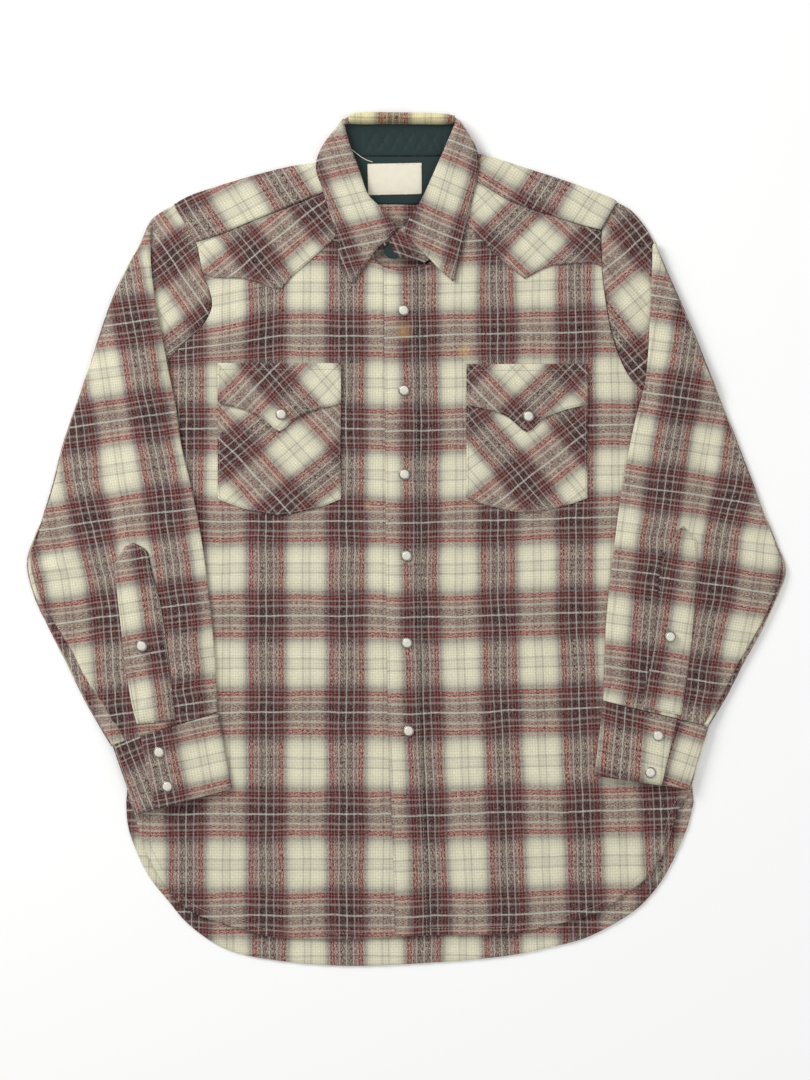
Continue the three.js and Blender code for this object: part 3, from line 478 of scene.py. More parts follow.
def add(tree, kind, inputs=None, **settings):
    node = tree.nodes.new(kind)
    for key, value in settings.items():
        setattr(node, key, value)
    for key, value in (inputs or {}).items():
        socket = node.inputs[key]
        if isinstance(value, bpy.types.NodeSocket):
            tree.links.new(value, socket)
        else:
            socket.default_value = value
    return node


def maths(tree, operation, a, b=None, c=None, clamp=False):
    inputs = {0: a}
    if b is not None:
        inputs[1] = b
    if c is not None:
        inputs[2] = c
    return add(tree, "ShaderNodeMath", inputs, operation=operation, use_clamp=clamp).outputs[0]


# A noise value runs from 0 to 1: this moves its middle to 0.
def centred(tree, value):
    return maths(tree, "SUBTRACT", value, 0.5)


def vectorMaths(tree, operation, a, b):
    return add(tree, "ShaderNodeVectorMath", {0: a, 1: b}, operation=operation).outputs[0]


def noise(tree, place, scale, detail, **more):
    inputs = {"Vector": place, "Scale": scale, "Detail": detail, **more}
    return add(tree, "ShaderNodeTexNoise", inputs).outputs[0]


# One value in all three channels.
def evenly(tree, value):
    return add(tree, "ShaderNodeCombineXYZ", {0: value, 1: value, 2: value}).outputs[0]


def addBump(tree, shader, height, strength, distance):
    bump = add(tree, "ShaderNodeBump", {"Height": height, "Strength": strength, "Distance": distance})
    tree.links.new(bump.outputs[0], shader.inputs["Normal"])


def blendColor(tree, factor, a, b, mode="MIX", free=False):
    node = tree.nodes.new("ShaderNodeMix")
    node.data_type = "RGBA"
    node.blend_type = mode
    node.clamp_factor = not free
    for key, value in ((0, factor), (6, a), (7, b)):
        if isinstance(value, bpy.types.NodeSocket):
            tree.links.new(value, node.inputs[key])
        else:
            node.inputs[key].default_value = value
    return node.outputs[2]


def ramp(tree, factor, stops, interpolation="LINEAR"):
    node = tree.nodes.new("ShaderNodeValToRGB")
    node.color_ramp.interpolation = interpolation
    elements = node.color_ramp.elements
    while len(elements) < len(stops):
        elements.new(0.5)
    # Blender sorts the stops as they move, so each is placed twice.
    for element, (at, color) in zip(elements, stops):
        element.position = at
    for element, (at, color) in zip(elements, stops):
        element.position = at
        element.color = color
    tree.links.new(factor, node.inputs[0])
    return node


# The plaid. Threads darken the cream by a share per colour channel, where warp and weft cross the shares
# multiply, and thin light threads lie over all. Distances are from a band's middle, in millimetres.
plaid = {
    "warpRepeat": 80.5,
    "weftRepeat": 97.0,
    "cream": (0.745, 0.71, 0.53, 1),
    "lightThread": (0.66, 0.68, 0.60, 1),
    "cover": 0.93,
    "twill": 1.5,
    "crossing": (0.78, 1.14, 1.14, 1),
    "lineStep": 2.7,
    "lineDepth": 0.19,
    "wander": 0.05,
    "fray": 0.0045,
    "yarnContrast": 3.2,
    "yarnLevel": 0.95,
    "yarnLeast": 0.05,
    "yarnMost": 1.3,
    "ribLift": 0.45,
    "tangle": 1.7,
    "lineWidth": 0.55,
    "brokenGain": 2.2,
    "brokenLevel": -1.15,
    "fleck": 1.15,
    "streak": 0.62,
    "dye": 0.16,
}
warpStripes = tableOf(
    "at share light",
    (0.0, (0.36, 0.30, 0.32), 0.46), (0.5, (0.36, 0.30, 0.32), 0.46), (0.8, (0.33, 0.27, 0.29), 0),
    (2.5, (0.38, 0.33, 0.35), 0), (4.0, (0.30, 0.24, 0.26), 0), (6.6, (0.33, 0.26, 0.29), 0),
    (7.3, (0.46, 0.39, 0.43), 0.27), (8.0, (0.46, 0.39, 0.43), 0.27), (8.5, (0.37, 0.28, 0.31), 0),
    (11.0, (0.42, 0.31, 0.34), 0), (11.8, (0.50, 0.40, 0.43), 0.12), (12.6, (0.40, 0.20, 0.225), 0),
    (14.3, (0.37, 0.165, 0.19), 0), (14.8, (0.52, 0.36, 0.38), 0.14), (15.3, (0.37, 0.165, 0.19), 0),
    (17.0, (0.39, 0.215, 0.245), 0), (17.8, (0.52, 0.44, 0.48), 0.1), (19.5, (0.50, 0.47, 0.50), 0),
    (21.0, (0.62, 0.615, 0.64), 0), (22.8, (0.79, 0.795, 0.82), 0), (24.8, (0.90, 0.90, 0.905), 0),
    (28.0, (0.97, 0.97, 0.965), 0), (31.0, (1.0, 1.0, 1.0), 0), (35.6, (0.97, 0.97, 0.965), 0),
    (36.3, (0.76, 0.76, 0.78), 0), (37.2, (0.76, 0.76, 0.78), 0), (37.9, (0.94, 0.94, 0.93), 0),
    (40.25, (0.93, 0.93, 0.93), 0),
)
weftStripes = tableOf(
    "at share light",
    (0.0, (0.45, 0.37, 0.40), 0.56), (0.65, (0.45, 0.37, 0.40), 0.56), (1.0, (0.42, 0.36, 0.385), 0),
    (3.0, (0.42, 0.35, 0.375), 0), (6.0, (0.40, 0.31, 0.34), 0), (8.2, (0.43, 0.36, 0.39), 0),
    (9.5, (0.55, 0.48, 0.52), 0.2), (10.3, (0.55, 0.48, 0.52), 0.2), (11.5, (0.44, 0.32, 0.345), 0),
    (14.4, (0.46, 0.33, 0.355), 0), (15.2, (0.58, 0.46, 0.48), 0.22), (16.0, (0.55, 0.42, 0.44), 0.14),
    (16.7, (0.43, 0.205, 0.235), 0), (18.4, (0.43, 0.205, 0.235), 0), (18.9, (0.55, 0.38, 0.40), 0.14),
    (19.4, (0.43, 0.205, 0.235), 0), (21.0, (0.44, 0.24, 0.27), 0), (21.8, (0.55, 0.46, 0.49), 0.12),
    (24.0, (0.53, 0.495, 0.53), 0), (25.8, (0.60, 0.59, 0.62), 0), (27.6, (0.74, 0.74, 0.77), 0),
    (30.0, (0.86, 0.86, 0.88), 0), (34.0, (0.95, 0.945, 0.95), 0), (38.5, (1.0, 1.0, 1.0), 0),
    (42.4, (0.98, 0.98, 0.985), 0), (43.2, (0.76, 0.76, 0.785), 0), (44.3, (0.76, 0.76, 0.785), 0),
    (45.1, (0.93, 0.93, 0.94), 0), (48.5, (0.91, 0.91, 0.925), 0),
)


def stripeStops(stripes, repeat):
    stops = []
    for s in stripes:
        share = [max(0.0, (c - 1 + plaid["cover"]) / plaid["cover"]) for c in s["share"]]
        stops.append((s["at"] / (repeat / 2), (*share, s["light"])))
    return stops


def makePlaidTree():
    tree, given, result = newTree(
        "plaidWeave", [("Color", "NodeSocketColor"), ("Height", "NodeSocketFloat")]
    )
    parts = add(tree, "ShaderNodeSeparateXYZ", {0: given.outputs[0]})
    u, v = parts.outputs[0], parts.outputs[1]
    warpMm = maths(tree, "MULTIPLY", u, plaid["warpRepeat"])
    weftMm = maths(tree, "MULTIPLY", v, plaid["weftRepeat"])
    # Threads wander a little, so no stripe is ruled straight.
    flatMm = add(tree, "ShaderNodeCombineXYZ", {0: warpMm, 1: weftMm}).outputs[0]
    wander = add(
        tree, "ShaderNodeTexNoise", {"Vector": flatMm, "Scale": 0.02, "Detail": 2.0}
    ).outputs["Color"]
    drift = add(tree, "ShaderNodeSeparateXYZ", {0: wander})
    warpAt = maths(tree, "MULTIPLY_ADD", centred(tree, drift.outputs[0]), plaid["wander"], u)
    weftAt = maths(tree, "MULTIPLY_ADD", centred(tree, drift.outputs[1]), plaid["wander"], v)
    # Fibres run along each thread and fray its edges.
    def fibre(across, along, scale=1.0):
        place = add(tree, "ShaderNodeCombineXYZ", {
            0: maths(tree, "MULTIPLY", warpMm, across),
            1: maths(tree, "MULTIPLY", weftMm, along),
        }).outputs[0]
        return noise(tree, place, scale, 2.0, Roughness=0.6)

    warpFibre = fibre(1.7, 0.34)
    weftFibre = fibre(0.34, 1.7)
    chaos = fibre(1.0, 1.0)
    warpAt = maths(tree, "MULTIPLY_ADD", centred(tree, weftFibre), plaid["fray"], warpAt)
    weftAt = maths(tree, "MULTIPLY_ADD", centred(tree, warpFibre), plaid["fray"], weftAt)
    warpFar = maths(tree, "MULTIPLY", maths(tree, "PINGPONG", warpAt, 0.5), 2.0)
    weftFar = maths(tree, "MULTIPLY", maths(tree, "PINGPONG", weftAt, 0.5), 2.0)
    warpRamp = ramp(tree, warpFar, stripeStops(warpStripes, plaid["warpRepeat"]))
    weftRamp = ramp(tree, weftFar, stripeStops(weftStripes, plaid["weftRepeat"]))
    # Two-by-two twill: a diagonal rib where warp comes up, between ribs where weft does.
    diagonal = maths(tree, "PINGPONG", maths(tree, "ADD", warpMm, weftMm), plaid["twill"] / 2)
    rib = maths(tree, "DIVIDE", diagonal, plaid["twill"] / 2)
    lie = maths(tree, "MULTIPLY", centred(tree, chaos), plaid["tangle"])
    lie = maths(tree, "MULTIPLY_ADD", centred(tree, rib), plaid["ribLift"], lie)
    contrast, usual = plaid["yarnContrast"], plaid["yarnLevel"]
    warpUp = maths(tree, "MULTIPLY_ADD", centred(tree, warpFibre), contrast, usual)
    weftUp = maths(tree, "MULTIPLY_ADD", centred(tree, weftFibre), contrast, usual)
    warpUp = maths(tree, "MAXIMUM", maths(tree, "ADD", warpUp, lie), plaid["yarnLeast"])
    weftUp = maths(tree, "MAXIMUM", maths(tree, "SUBTRACT", weftUp, lie), plaid["yarnLeast"])
    warpUp = maths(tree, "MINIMUM", warpUp, plaid["yarnMost"])
    weftUp = maths(tree, "MINIMUM", weftUp, plaid["yarnMost"])
    white = (1, 1, 1, 1)
    warpShare = blendColor(tree, warpUp, white, warpRamp.outputs[0], free=True)
    weftShare = blendColor(tree, weftUp, white, weftRamp.outputs[0], free=True)
    color = blendColor(tree, 1.0, warpShare, weftShare, "MULTIPLY")
    # Dark over dark is deeper than either alone would make it.
    warpDepth = blendColor(tree, 1.0, white, warpShare, "SUBTRACT")
    weftDepth = blendColor(tree, 1.0, white, weftShare, "SUBTRACT")
    crossing = blendColor(tree, 1.0, warpDepth, weftDepth, "MULTIPLY")
    crossing = blendColor(tree, 1.0, crossing, plaid["crossing"], "MULTIPLY")
    crossing = blendColor(tree, 1.0, white, crossing, "SUBTRACT")
    color = blendColor(tree, 1.0, color, crossing, "MULTIPLY")
    # Every few threads a darker yarn runs both ways, also through the cream.
    for along, up in ((warpMm, warpUp), (weftMm, weftUp)):
        line = maths(tree, "PINGPONG", along, plaid["lineStep"] / 2)
        line = maths(tree, "DIVIDE", line, plaid["lineWidth"])
        line = maths(tree, "MULTIPLY", maths(tree, "SUBTRACT", 1.0, line, clamp=True), up)
        line = maths(tree, "SUBTRACT", 1.0, maths(tree, "MULTIPLY", line, plaid["lineDepth"]))
        color = blendColor(tree, 1.0, color, evenly(tree, line), "MULTIPLY")
    color = blendColor(tree, 1.0, color, plaid["cream"], "MULTIPLY")
    weftSeen = maths(tree, "MULTIPLY_ADD", weftUp, plaid["brokenGain"], plaid["brokenLevel"], clamp=True)
    warpSeen = maths(tree, "MULTIPLY_ADD", warpUp, plaid["brokenGain"], plaid["brokenLevel"], clamp=True)
    weftLight = maths(tree, "MULTIPLY", weftRamp.outputs[1], weftSeen, clamp=True)
    warpLight = maths(tree, "MULTIPLY", warpRamp.outputs[1], warpSeen, clamp=True)
    color = blendColor(tree, weftLight, color, plaid["lightThread"])
    color = blendColor(tree, warpLight, color, plaid["lightThread"])
    # Heather: stray light and dark fibres, and a slow unevenness of the dye.
    fleck = noise(tree, flatMm, 1.1, 4.0, Roughness=0.7)
    slow = noise(tree, flatMm, 0.05, 2.0)
    streak = maths(tree, "SUBTRACT", maths(tree, "ADD", warpFibre, weftFibre), 1.0)
    shade = maths(tree, "MULTIPLY_ADD", centred(tree, fleck), plaid["fleck"], 1.0)
    shade = maths(tree, "MULTIPLY_ADD", streak, plaid["streak"], shade)
    slow = maths(tree, "MULTIPLY_ADD", centred(tree, slow), plaid["dye"], 1.0)
    shade = maths(tree, "MULTIPLY", shade, slow)
    color = blendColor(tree, 1.0, color, evenly(tree, shade), "MULTIPLY")
    height = maths(tree, "MULTIPLY_ADD", rib, 0.5, maths(tree, "MULTIPLY", fleck, 0.8))
    tree.links.new(color, result.inputs[0])
    tree.links.new(height, result.inputs[1])
    return tree


def newMaterial(name):
    material = bpy.data.materials.new(name)
    material.use_nodes = True
    material.node_tree.nodes.clear()
    shader = add(material.node_tree, "ShaderNodeBsdfPrincipled")
    output = add(material.node_tree, "ShaderNodeOutputMaterial")
    material.node_tree.links.new(shader.outputs[0], output.inputs[0])
    return material, material.node_tree, shader


def setInputs(shader, values):
    for key, value in values.items():
        shader.inputs[key].default_value = value


plaidTree = makePlaidTree()

flannel = {
    "roughness": 0.92,
    "sheen": 0.18,
    "sheenRoughness": 0.55,
    "specular": 0.22,
    "bump": 0.35,
}
stains = tableOf(
    "x y size color depth",
    (-3, 208, 10, (0.80, 0.52, 0.22, 1), 0.34), (58, 189, 8, (0.85, 0.62, 0.20, 1), 0.30),
    (-39, 34, 5, (0.85, 0.65, 0.30, 1), 0.25),
)


def makeFlannel(name, tint=(1, 1, 1, 1), stained=False):
    material, tree, shader = newMaterial(name)
    uv = add(tree, "ShaderNodeUVMap", uv_map="plaid").outputs[0]
    weave = add(tree, "ShaderNodeGroup")
    weave.node_tree = plaidTree
    tree.links.new(uv, weave.inputs[0])
    color = blendColor(tree, 1.0, weave.outputs["Color"], tint, "MULTIPLY")
    if stained:
        place = add(tree, "ShaderNodeTexCoord").outputs["Object"]
        for spot in stains:
            centre = (spot["x"] * mm, spot["y"] * mm, 0)
            far = vectorMaths(tree, "SUBTRACT", place, centre)
            far = vectorMaths(tree, "MULTIPLY", far, (1, 0.8, 0))
            length = add(tree, "ShaderNodeVectorMath", {0: far}, operation="LENGTH").outputs["Value"]
            near = add(tree, "ShaderNodeMapRange", {
                "Value": length,
                "From Min": spot["size"] * mm,
                "From Max": 0.0,
                "To Min": 0.0,
                "To Max": spot["depth"],
            }).outputs[0]
            color = blendColor(tree, near, color, spot["color"])
    tree.links.new(color, shader.inputs["Base Color"])
    addBump(tree, shader, weave.outputs["Height"], flannel["bump"], 0.0004)
    setInputs(shader, {
        "Roughness": flannel["roughness"],
        "Sheen Weight": flannel["sheen"],
        "Sheen Roughness": flannel["sheenRoughness"],
        "Specular IOR Level": flannel["specular"],
    })
    return material


flannelFace = makeFlannel("plaidFlannel")
flannelStained = makeFlannel("plaidFlannelStained", stained=True)
flannelAged = makeFlannel("plaidFlannelAged", tint=(1.0, 0.95, 0.72, 1))

lining = {
    "color": (0.0095, 0.024, 0.0245, 1), "edge": (0.017, 0.037, 0.036, 1), "roughness": 0.55, "sheen": 0.03
}


def makeLining():
    material, tree, shader = newMaterial("darkSatin")
    place = add(tree, "ShaderNodeTexCoord").outputs["Object"]
    stretch = vectorMaths(tree, "MULTIPLY", place, (300, 2600, 300))
    threads = noise(tree, stretch, 1.0, 3.0)
    slow = noise(tree, place, 60.0, 2.0)
    mixed = maths(tree, "MULTIPLY_ADD", threads, 0.5, maths(tree, "MULTIPLY", slow, 0.5))
    color = blendColor(tree, mixed, lining["color"], lining["edge"])
    tree.links.new(color, shader.inputs["Base Color"])
    rough = maths(tree, "MULTIPLY_ADD", threads, 0.18, lining["roughness"] - 0.09)
    tree.links.new(rough, shader.inputs["Roughness"])
    addBump(tree, shader, threads, 0.3, 0.0002)
    setInputs(shader, {"Sheen Weight": lining["sheen"], "Specular IOR Level": 0.28})
    return material


label = {"color": (0.84, 0.79, 0.66, 1), "dark": (0.66, 0.60, 0.47, 1)}


def makeLabel():
    material, tree, shader = newMaterial("wovenTape")
    place = add(tree, "ShaderNodeTexCoord").outputs["Object"]
    parts = add(tree, "ShaderNodeSeparateXYZ", {0: place})
    rib = maths(tree, "PINGPONG", maths(tree, "MULTIPLY", parts.outputs[1], 1.0 / mm), 0.35)
    cross = maths(tree, "PINGPONG", maths(tree, "MULTIPLY", parts.outputs[0], 1.0 / mm), 0.3)
    weave = maths(tree, "MULTIPLY", maths(tree, "ADD", rib, cross), 1.5)
    soil = noise(tree, place, 160.0, 3.0)
    mixed = maths(tree, "MULTIPLY_ADD", weave, 0.3, maths(tree, "MULTIPLY", soil, 0.5))
    color = blendColor(tree, mixed, label["color"], label["dark"])
    tree.links.new(color, shader.inputs["Base Color"])
    addBump(tree, shader, weave, 0.35, 0.0002)
    setInputs(shader, {"Roughness": 0.75, "Sheen Weight": 0.1})
    return material


thread = {"color": (0.50, 0.46, 0.40, 1), "dark": (0.30, 0.26, 0.24, 1)}
liningThreadColors = {"color": (0.030, 0.055, 0.055, 1), "dark": (0.014, 0.03, 0.03, 1)}


def makeThread(name, thread):
    material, tree, shader = newMaterial(name)
    place = add(tree, "ShaderNodeTexCoord").outputs["Object"]
    twist = noise(tree, place, 900.0, 2.0)
    color = blendColor(tree, twist, thread["dark"], thread["color"])
    tree.links.new(color, shader.inputs["Base Color"])
    setInputs(shader, {"Roughness": 0.7, "Sheen Weight": 0.15})
    return material


pearl = {
    "color": (0.54, 0.52, 0.44, 1),
    "milk": (0.84, 0.83, 0.74, 1),
    "pink": (0.66, 0.56, 0.48, 1),
    "roughness": 0.2,
}


def makePearl():
    material, tree, shader = newMaterial("pearlCap")
    place = add(tree, "ShaderNodeTexCoord").outputs["Object"]
    cloud = noise(tree, place, 210.0, 4.0, Distortion=1.6)
    hue = noise(tree, place, 120.0, 2.0, Distortion=2.4)
    color = blendColor(tree, cloud, pearl["color"], pearl["milk"])
    tint = maths(tree, "MULTIPLY", hue, 0.35)
    color = blendColor(tree, tint, color, pearl["pink"])
    tree.links.new(color, shader.inputs["Base Color"])
    addBump(tree, shader, cloud, 0.12, 0.0003)
    setInputs(shader, {
        "Roughness": pearl["roughness"],
        "Coat Weight": 0.6,
        "Coat Roughness": 0.06,
        "Subsurface Weight": 0.15,
        "Subsurface Scale": 0.002,
    })
    return material


rim = {"color": (0.46, 0.44, 0.39, 1), "worn": (0.22, 0.205, 0.18, 1)}


def makeRim():
    material, tree, shader = newMaterial("snapRim")
    place = add(tree, "ShaderNodeTexCoord").outputs["Object"]
    wear = noise(tree, place, 500.0, 3.0)
    color = blendColor(tree, wear, rim["worn"], rim["color"])
    tree.links.new(color, shader.inputs["Base Color"])
    rough = maths(tree, "MULTIPLY_ADD", wear, 0.2, 0.22)
    tree.links.new(rough, shader.inputs["Roughness"])
    setInputs(shader, {"Metallic": 1.0})
    return material


liningFace = makeLining()
labelFace = makeLabel()
threadFace = makeThread("sewingThread", thread)
liningThread = makeThread("liningThread", liningThreadColors)
pearlFace = makePearl()
rimFace = makeRim()


print("stage: materials made")

# Where the plaid falls on each panel

# Heights of the weft bands' middles on the body, from the shoulder to the hem.
bodyWeft = tableOf(
    "band y",
    (9, 490), (8, 395), (7, 299.5), (6, 204.5), (5, 110.5), (4, 18.5), (3, -76.5), (2, -172.5),
    (1, -274.5), (0, -376.5), (-1, -474),
)
warpRight = tableOf(
    "band x",
    (-4, -300), (-3, -220.5), (-2, -140.5), (-1, -60), (0, 20),
)
warpLeft = tableOf(
    "band x",
    (0, -60), (1, 17.8), (2, 95.7), (3, 173.6), (4, 251.5), (5, 329),
)


def bandAt(rows, name, value):
    rows = sorted(rows, key=lambda row: row[name])
    at = [row[name] for row in rows]
    bands = [row["band"] for row in rows]
    out = np.interp(value, at, bands)
    first = (bands[1] - bands[0]) / (at[1] - at[0])
    last = (bands[-1] - bands[-2]) / (at[-1] - at[-2])
    out = np.where(value < at[0], bands[0] + (value - at[0]) * first, out)
    return np.where(value > at[-1], bands[-1] + (value - at[-1]) * last, out)


# How far the warp leans from upright on the wearer's left front, by height.
leanLeft = tableOf(
    "y x",
    (-380, -6.9), (-184, 0), (-50, 4.2), (113, 3.4), (240, 5),
)


def straightPlaid(warpRows, drop=0.0, side=None):
    def uv(x, y):
        # The neck's edge hangs in the middle.
        sag = 9 * np.exp(-(((x + 2) / 26) ** 2)) * smooth(y, 256, 270)
        if side == "left":
            return np.column_stack([
                bandAt(warpRows, "x", x + column(leanLeft, "x", y)),
                bandAt(bodyWeft, "y", y + drop + sag - 0.028 * (x - 60)),
            ])
        dip = sag + 0.2 * np.maximum(0, -126 - x) * smooth(y, 150, 215) if side == "right" else 0
        return np.column_stack([bandAt(warpRows, "x", x), bandAt(bodyWeft, "y", y + drop + dip)])

    return uv


# Bias pieces: the place where two light threads cross, and the directions of warp and weft in degrees.
def turnedPlaid(at):
    x0, y0 = at["x"], at["y"]
    wr = at.get("warpRepeat", plaid["warpRepeat"])
    fr = at.get("weftRepeat", plaid["weftRepeat"])
    wx, wy = math.cos(math.radians(at["warp"])), math.sin(math.radians(at["warp"]))
    fx, fy = math.cos(math.radians(at["weft"])), math.sin(math.radians(at["weft"]))

    def uv(x, y):
        u = ((x - x0) * wy - (y - y0) * wx) / wr
        v = ((x - x0) * fy - (y - y0) * fx) / fr
        return np.column_stack([u, v])

    return uv


# Back

hem = {"width": 8, "rise": 0.55, "rope": 0.16, "ropeStep": 5.2}


def hemRise(line):
    def extra(x, y, edgeFar):
        points = np.column_stack([x, y])
        far = distanceTo(points, line)
        rope = hem["rope"] * np.sin((x * 0.8 + y * 0.6) / hem["ropeStep"] * 2)
        body = 1 - smooth(far, hem["width"] - 0.6, hem["width"] + 1.0)
        return body * (hem["rise"] + rope) - 0.25 * np.exp(-(((far - hem["width"] + 0.6) / 1.0) ** 2))

    return extra


def makeBack():
    upper = 256 - form["gap"]
    outline = outlineOf(
        backHem,
        between(armholeLeft, 142, upper)[::-1],
        (yokeSeam - [0, form["gap"]])[::-1][1:-1],
        between(armholeRight, 142, upper),
    )
    stitchRow = movedEdge(backHem, hem["width"] - 1.2)
    piece = clothSheet(
        "backPanel", outline, level(backTop), straightPlaid(warpLeft, drop=-3),
        pitch=7, seams=[stitchRow], extra=hemRise(backHem), under=level(0),
    )
    return declare(piece, flannelFace, ["back"])


makeBack()


# Back yoke: a plate under the neck, and straps that come over the shoulders

standFoot = 2.3


def yokeUnder(x, y):
    return standFoot * smooth(y, 335, 359) * (1 - smooth(np.abs(x + 8), 88, 108))


def strapTop(x, y):
    return np.maximum(yokeTop(x, y), 4.4)


strapPlaid = {
    "right": {"x": -179.4, "y": 273.8, "warp": -57.3, "weft": 26.6, "warpRepeat": 90, "weftRepeat": 90},
    "left": {"x": 193.8, "y": 270.7, "warp": 57.2, "weft": -30.6, "warpRepeat": 90, "weftRepeat": 100},
}


def makeYokePlate():
    outline = outlineOf(
        between(armholeRight, 256, 336)[::-1], shoulderRight[1:-1], backNeck,
        shoulderLeft[::-1][1:-1], between(armholeLeft, 256, 338), yokeSeam[::-1][1:-1],
    )
    # At the throat the cloth lies lower, so its brown band shows there and again under the label.
    cut = lambda x, y: straightPlaid(warpLeft)(x, y + 10 - 24 * smooth(y, 292, 304))
    piece = clothSheet(
        "backYokePlate", outline, lambda x, y: yokeUnder(x, y) + form["cloth"], cut, pitch=5,
        under=yokeUnder,
    )
    return declare(piece, flannelFace, ["back_yoke"])


# A line in a given number of points.
def spread(line, count):
    p = resample(line, 1)
    at = np.linspace(0, 1, count)
    return np.column_stack([np.interp(at, np.linspace(0, 1, len(p)), p[:, k]) for k in (0, 1)])


# How far down its columns each row of a lattice lies.
def lengthsDown(lattice):
    steps = np.linalg.norm(np.diff(lattice, axis=0), axis=2)
    return np.cumsum(np.concatenate([[np.zeros(lattice.shape[1])], steps]), axis=0)


# A strap runs from its seam up over the shoulder's fold and down to the surface.
def makeStrap(side, shoulder, seam):
    count = 96
    fold = spread(shoulder, count)
    low = spread(seam, count)
    rows = []
    for t in np.linspace(0, 1, 18):
        p = low + (fold - low) * t * 0.985
        edge = 1 - smooth(t, 0.0, 0.06)
        z = strapTop(p[:, 0], p[:, 1]) + 0.25 - 0.25 * edge - 1.6 * smooth(t, 0.78, 1.0) ** 2
        rows.append(np.column_stack([p, z]))
    top = rows[-1]
    direction = fold - low
    direction /= np.linalg.norm(direction, axis=1)[:, None]
    for angle in np.linspace(20, 180, 9):
        a = math.radians(angle)
        reach = (top[:, 2] - 0.7) / 2
        out = direction * (np.sin(a) * np.minimum(reach, 1.6))[:, None]
        z = 0.7 + reach + reach * math.cos(a)
        rows.append(np.column_stack([top[:, :2] + out, z]))
    lattice = np.array(rows)
    flat = lengthsDown(lattice)
    unrolled = low[None] + direction[None] * flat[..., None]
    cut = turnedPlaid(strapPlaid[side])(unrolled[..., 0].ravel(), unrolled[..., 1].ravel())
    piece = clothWall(
        "backYokeStrap" + side.title(), lattice, cut.reshape(lattice[..., :2].shape), form["cloth"]
    )
    return declare(piece, flannelFace, ["back_yoke"])


makeYokePlate()
makeStrap("right", shoulderRight, strapSeamRight)
makeStrap("left", shoulderLeft, strapSeamLeft)
print("stage: back made")


# Neck lining and its plain label


def neckLiningTop(x, y):
    return yokeUnder(x, y) + form["cloth"] + form["gap"] + 0.9 + relief(x, y, 0.5)


def makeNeckLining():
    outline = outlineOf(
        [[-66, 336], [54, 336], [62, 352], [61, 383], [20, 383.6], [-40, 383.6], [-72, 382], [-74, 352]]
    )
    lowSeam = [[-64, 338], [52, 338]]
    piece = clothSheet(
        "neckPatch", outline, neckLiningTop, straightPlaid(warpLeft), thickness=0.8, pitch=3,
        seams=[lowSeam], seamDepth=0.25,
    )
    return declare(piece, liningFace, ["neck_lining"])


def makeNeckLabel():
    corners = outlineOf([[-38.5, 345], [15.5, 346], [15, 377], [-39, 376]], step=1.5)
    sewn = [[-37.2, 346.4], [14.2, 347.2], [13.8, 375.8], [-37.6, 374.8], [-37.2, 346.4]]
    piece = clothSheet(
        "neckTape", corners, lambda x, y: neckLiningTop(x, y) + 0.85 + 0 * x, straightPlaid(warpLeft),
        thickness=0.5, pitch=1.6, seams=[sewn], seamDepth=0.22,
    )
    return declare(piece, labelFace, ["neck_label"])


makeNeckLining()
makeNeckLabel()

# Fronts and the snap band

bandRows = splineEdge(bandPoints)
stitchRows = []
liningRows = []


def sew(line, top, rise=0.0):
    stitchRows.append({"line": line, "top": top, "rise": rise})


def makeFrontRight():
    outline = outlineOf(
        frontHemRight, centreRight[1:], neckRight[::-1], strapSeamRight[::-1][1:],
        between(armholeRight, 143, 297), [[column(bodySides, "left", 141) + 0.4, 141]],
    )
    row = movedEdge(frontHemRight, hem["width"] - 1.2)
    sew(row, frontTop, hem["rise"] * 0.4)
    piece = clothSheet(
        "frontPanelRight", outline, frontTop, straightPlaid(warpRight, side="right"), seams=[row],
        extra=hemRise(frontHemRight), under=frontUnder,
    )
    return declare(piece, flannelStained, ["front_right"])


def makeFrontLeft():
    outline = outlineOf(
        frontHemLeft, [[column(bodySides, "right", 141) - 0.4, 141]], between(armholeLeft, 143, 309)[::-1],
        strapSeamLeft, neckLeft[1:], centreLeft[::-1][:-1],
    )
    row = movedEdge(frontHemLeft, hem["width"] - 1.2)
    sew(row, frontTop, hem["rise"] * 0.4)
    piece = clothSheet(
        "frontPanelLeft", outline, frontTop, straightPlaid(warpLeft, side="left"), seams=[row],
        extra=hemRise(frontHemLeft), under=frontUnder,
    )
    return declare(piece, flannelStained, ["front_left"])


def makeFrontBand():
    right = bandRows + [bandWidth, 0]
    outline = outlineOf(right, bandRows[::-1])
    rows = [bandRows + [2.2, 0], right - [2.6, 0]]
    for row in rows:
        sew(row, yokeTop)
    piece = clothSheet(
        "snapBand", outline, yokeTop, straightPlaid(warpLeft, side="left"), pitch=3.2, seams=rows,
        under=onFront, extra=swell(0.18, 2, 6),
    )
    return declare(
        piece, flannelStained, ["front_band"]
    )


makeFrontRight()
makeFrontLeft()
makeFrontBand()
print("stage: fronts made")

# Front yokes, bias cut

yokeEdgeRight = [
    [-203.2, 266], [-191, 262], [-163, 261], [-152, 258], [-134, 251.5], [-124.5, 251.5], [-113, 265],
    [-88, 287], [-72, 301], [-60, 313]
]
yokeEdgeLeft = [
    [195.5, 273], [185, 277], [166, 276.5], [148, 274.6], [135, 270], [118.4, 260.5], [99, 276.5],
    [87, 287], [61, 315], [50, 322]
]
yokePlaid = {
    "right": {"x": -151.3, "y": 284.3, "warp": -51.2, "weft": 38.5, "warpRepeat": 73.8, "weftRepeat": 93.8},
    "left": {"x": 124.1, "y": 238.3, "warp": 44.4, "weft": -42.9, "warpRepeat": 70.3, "weftRepeat": 92.4},
}


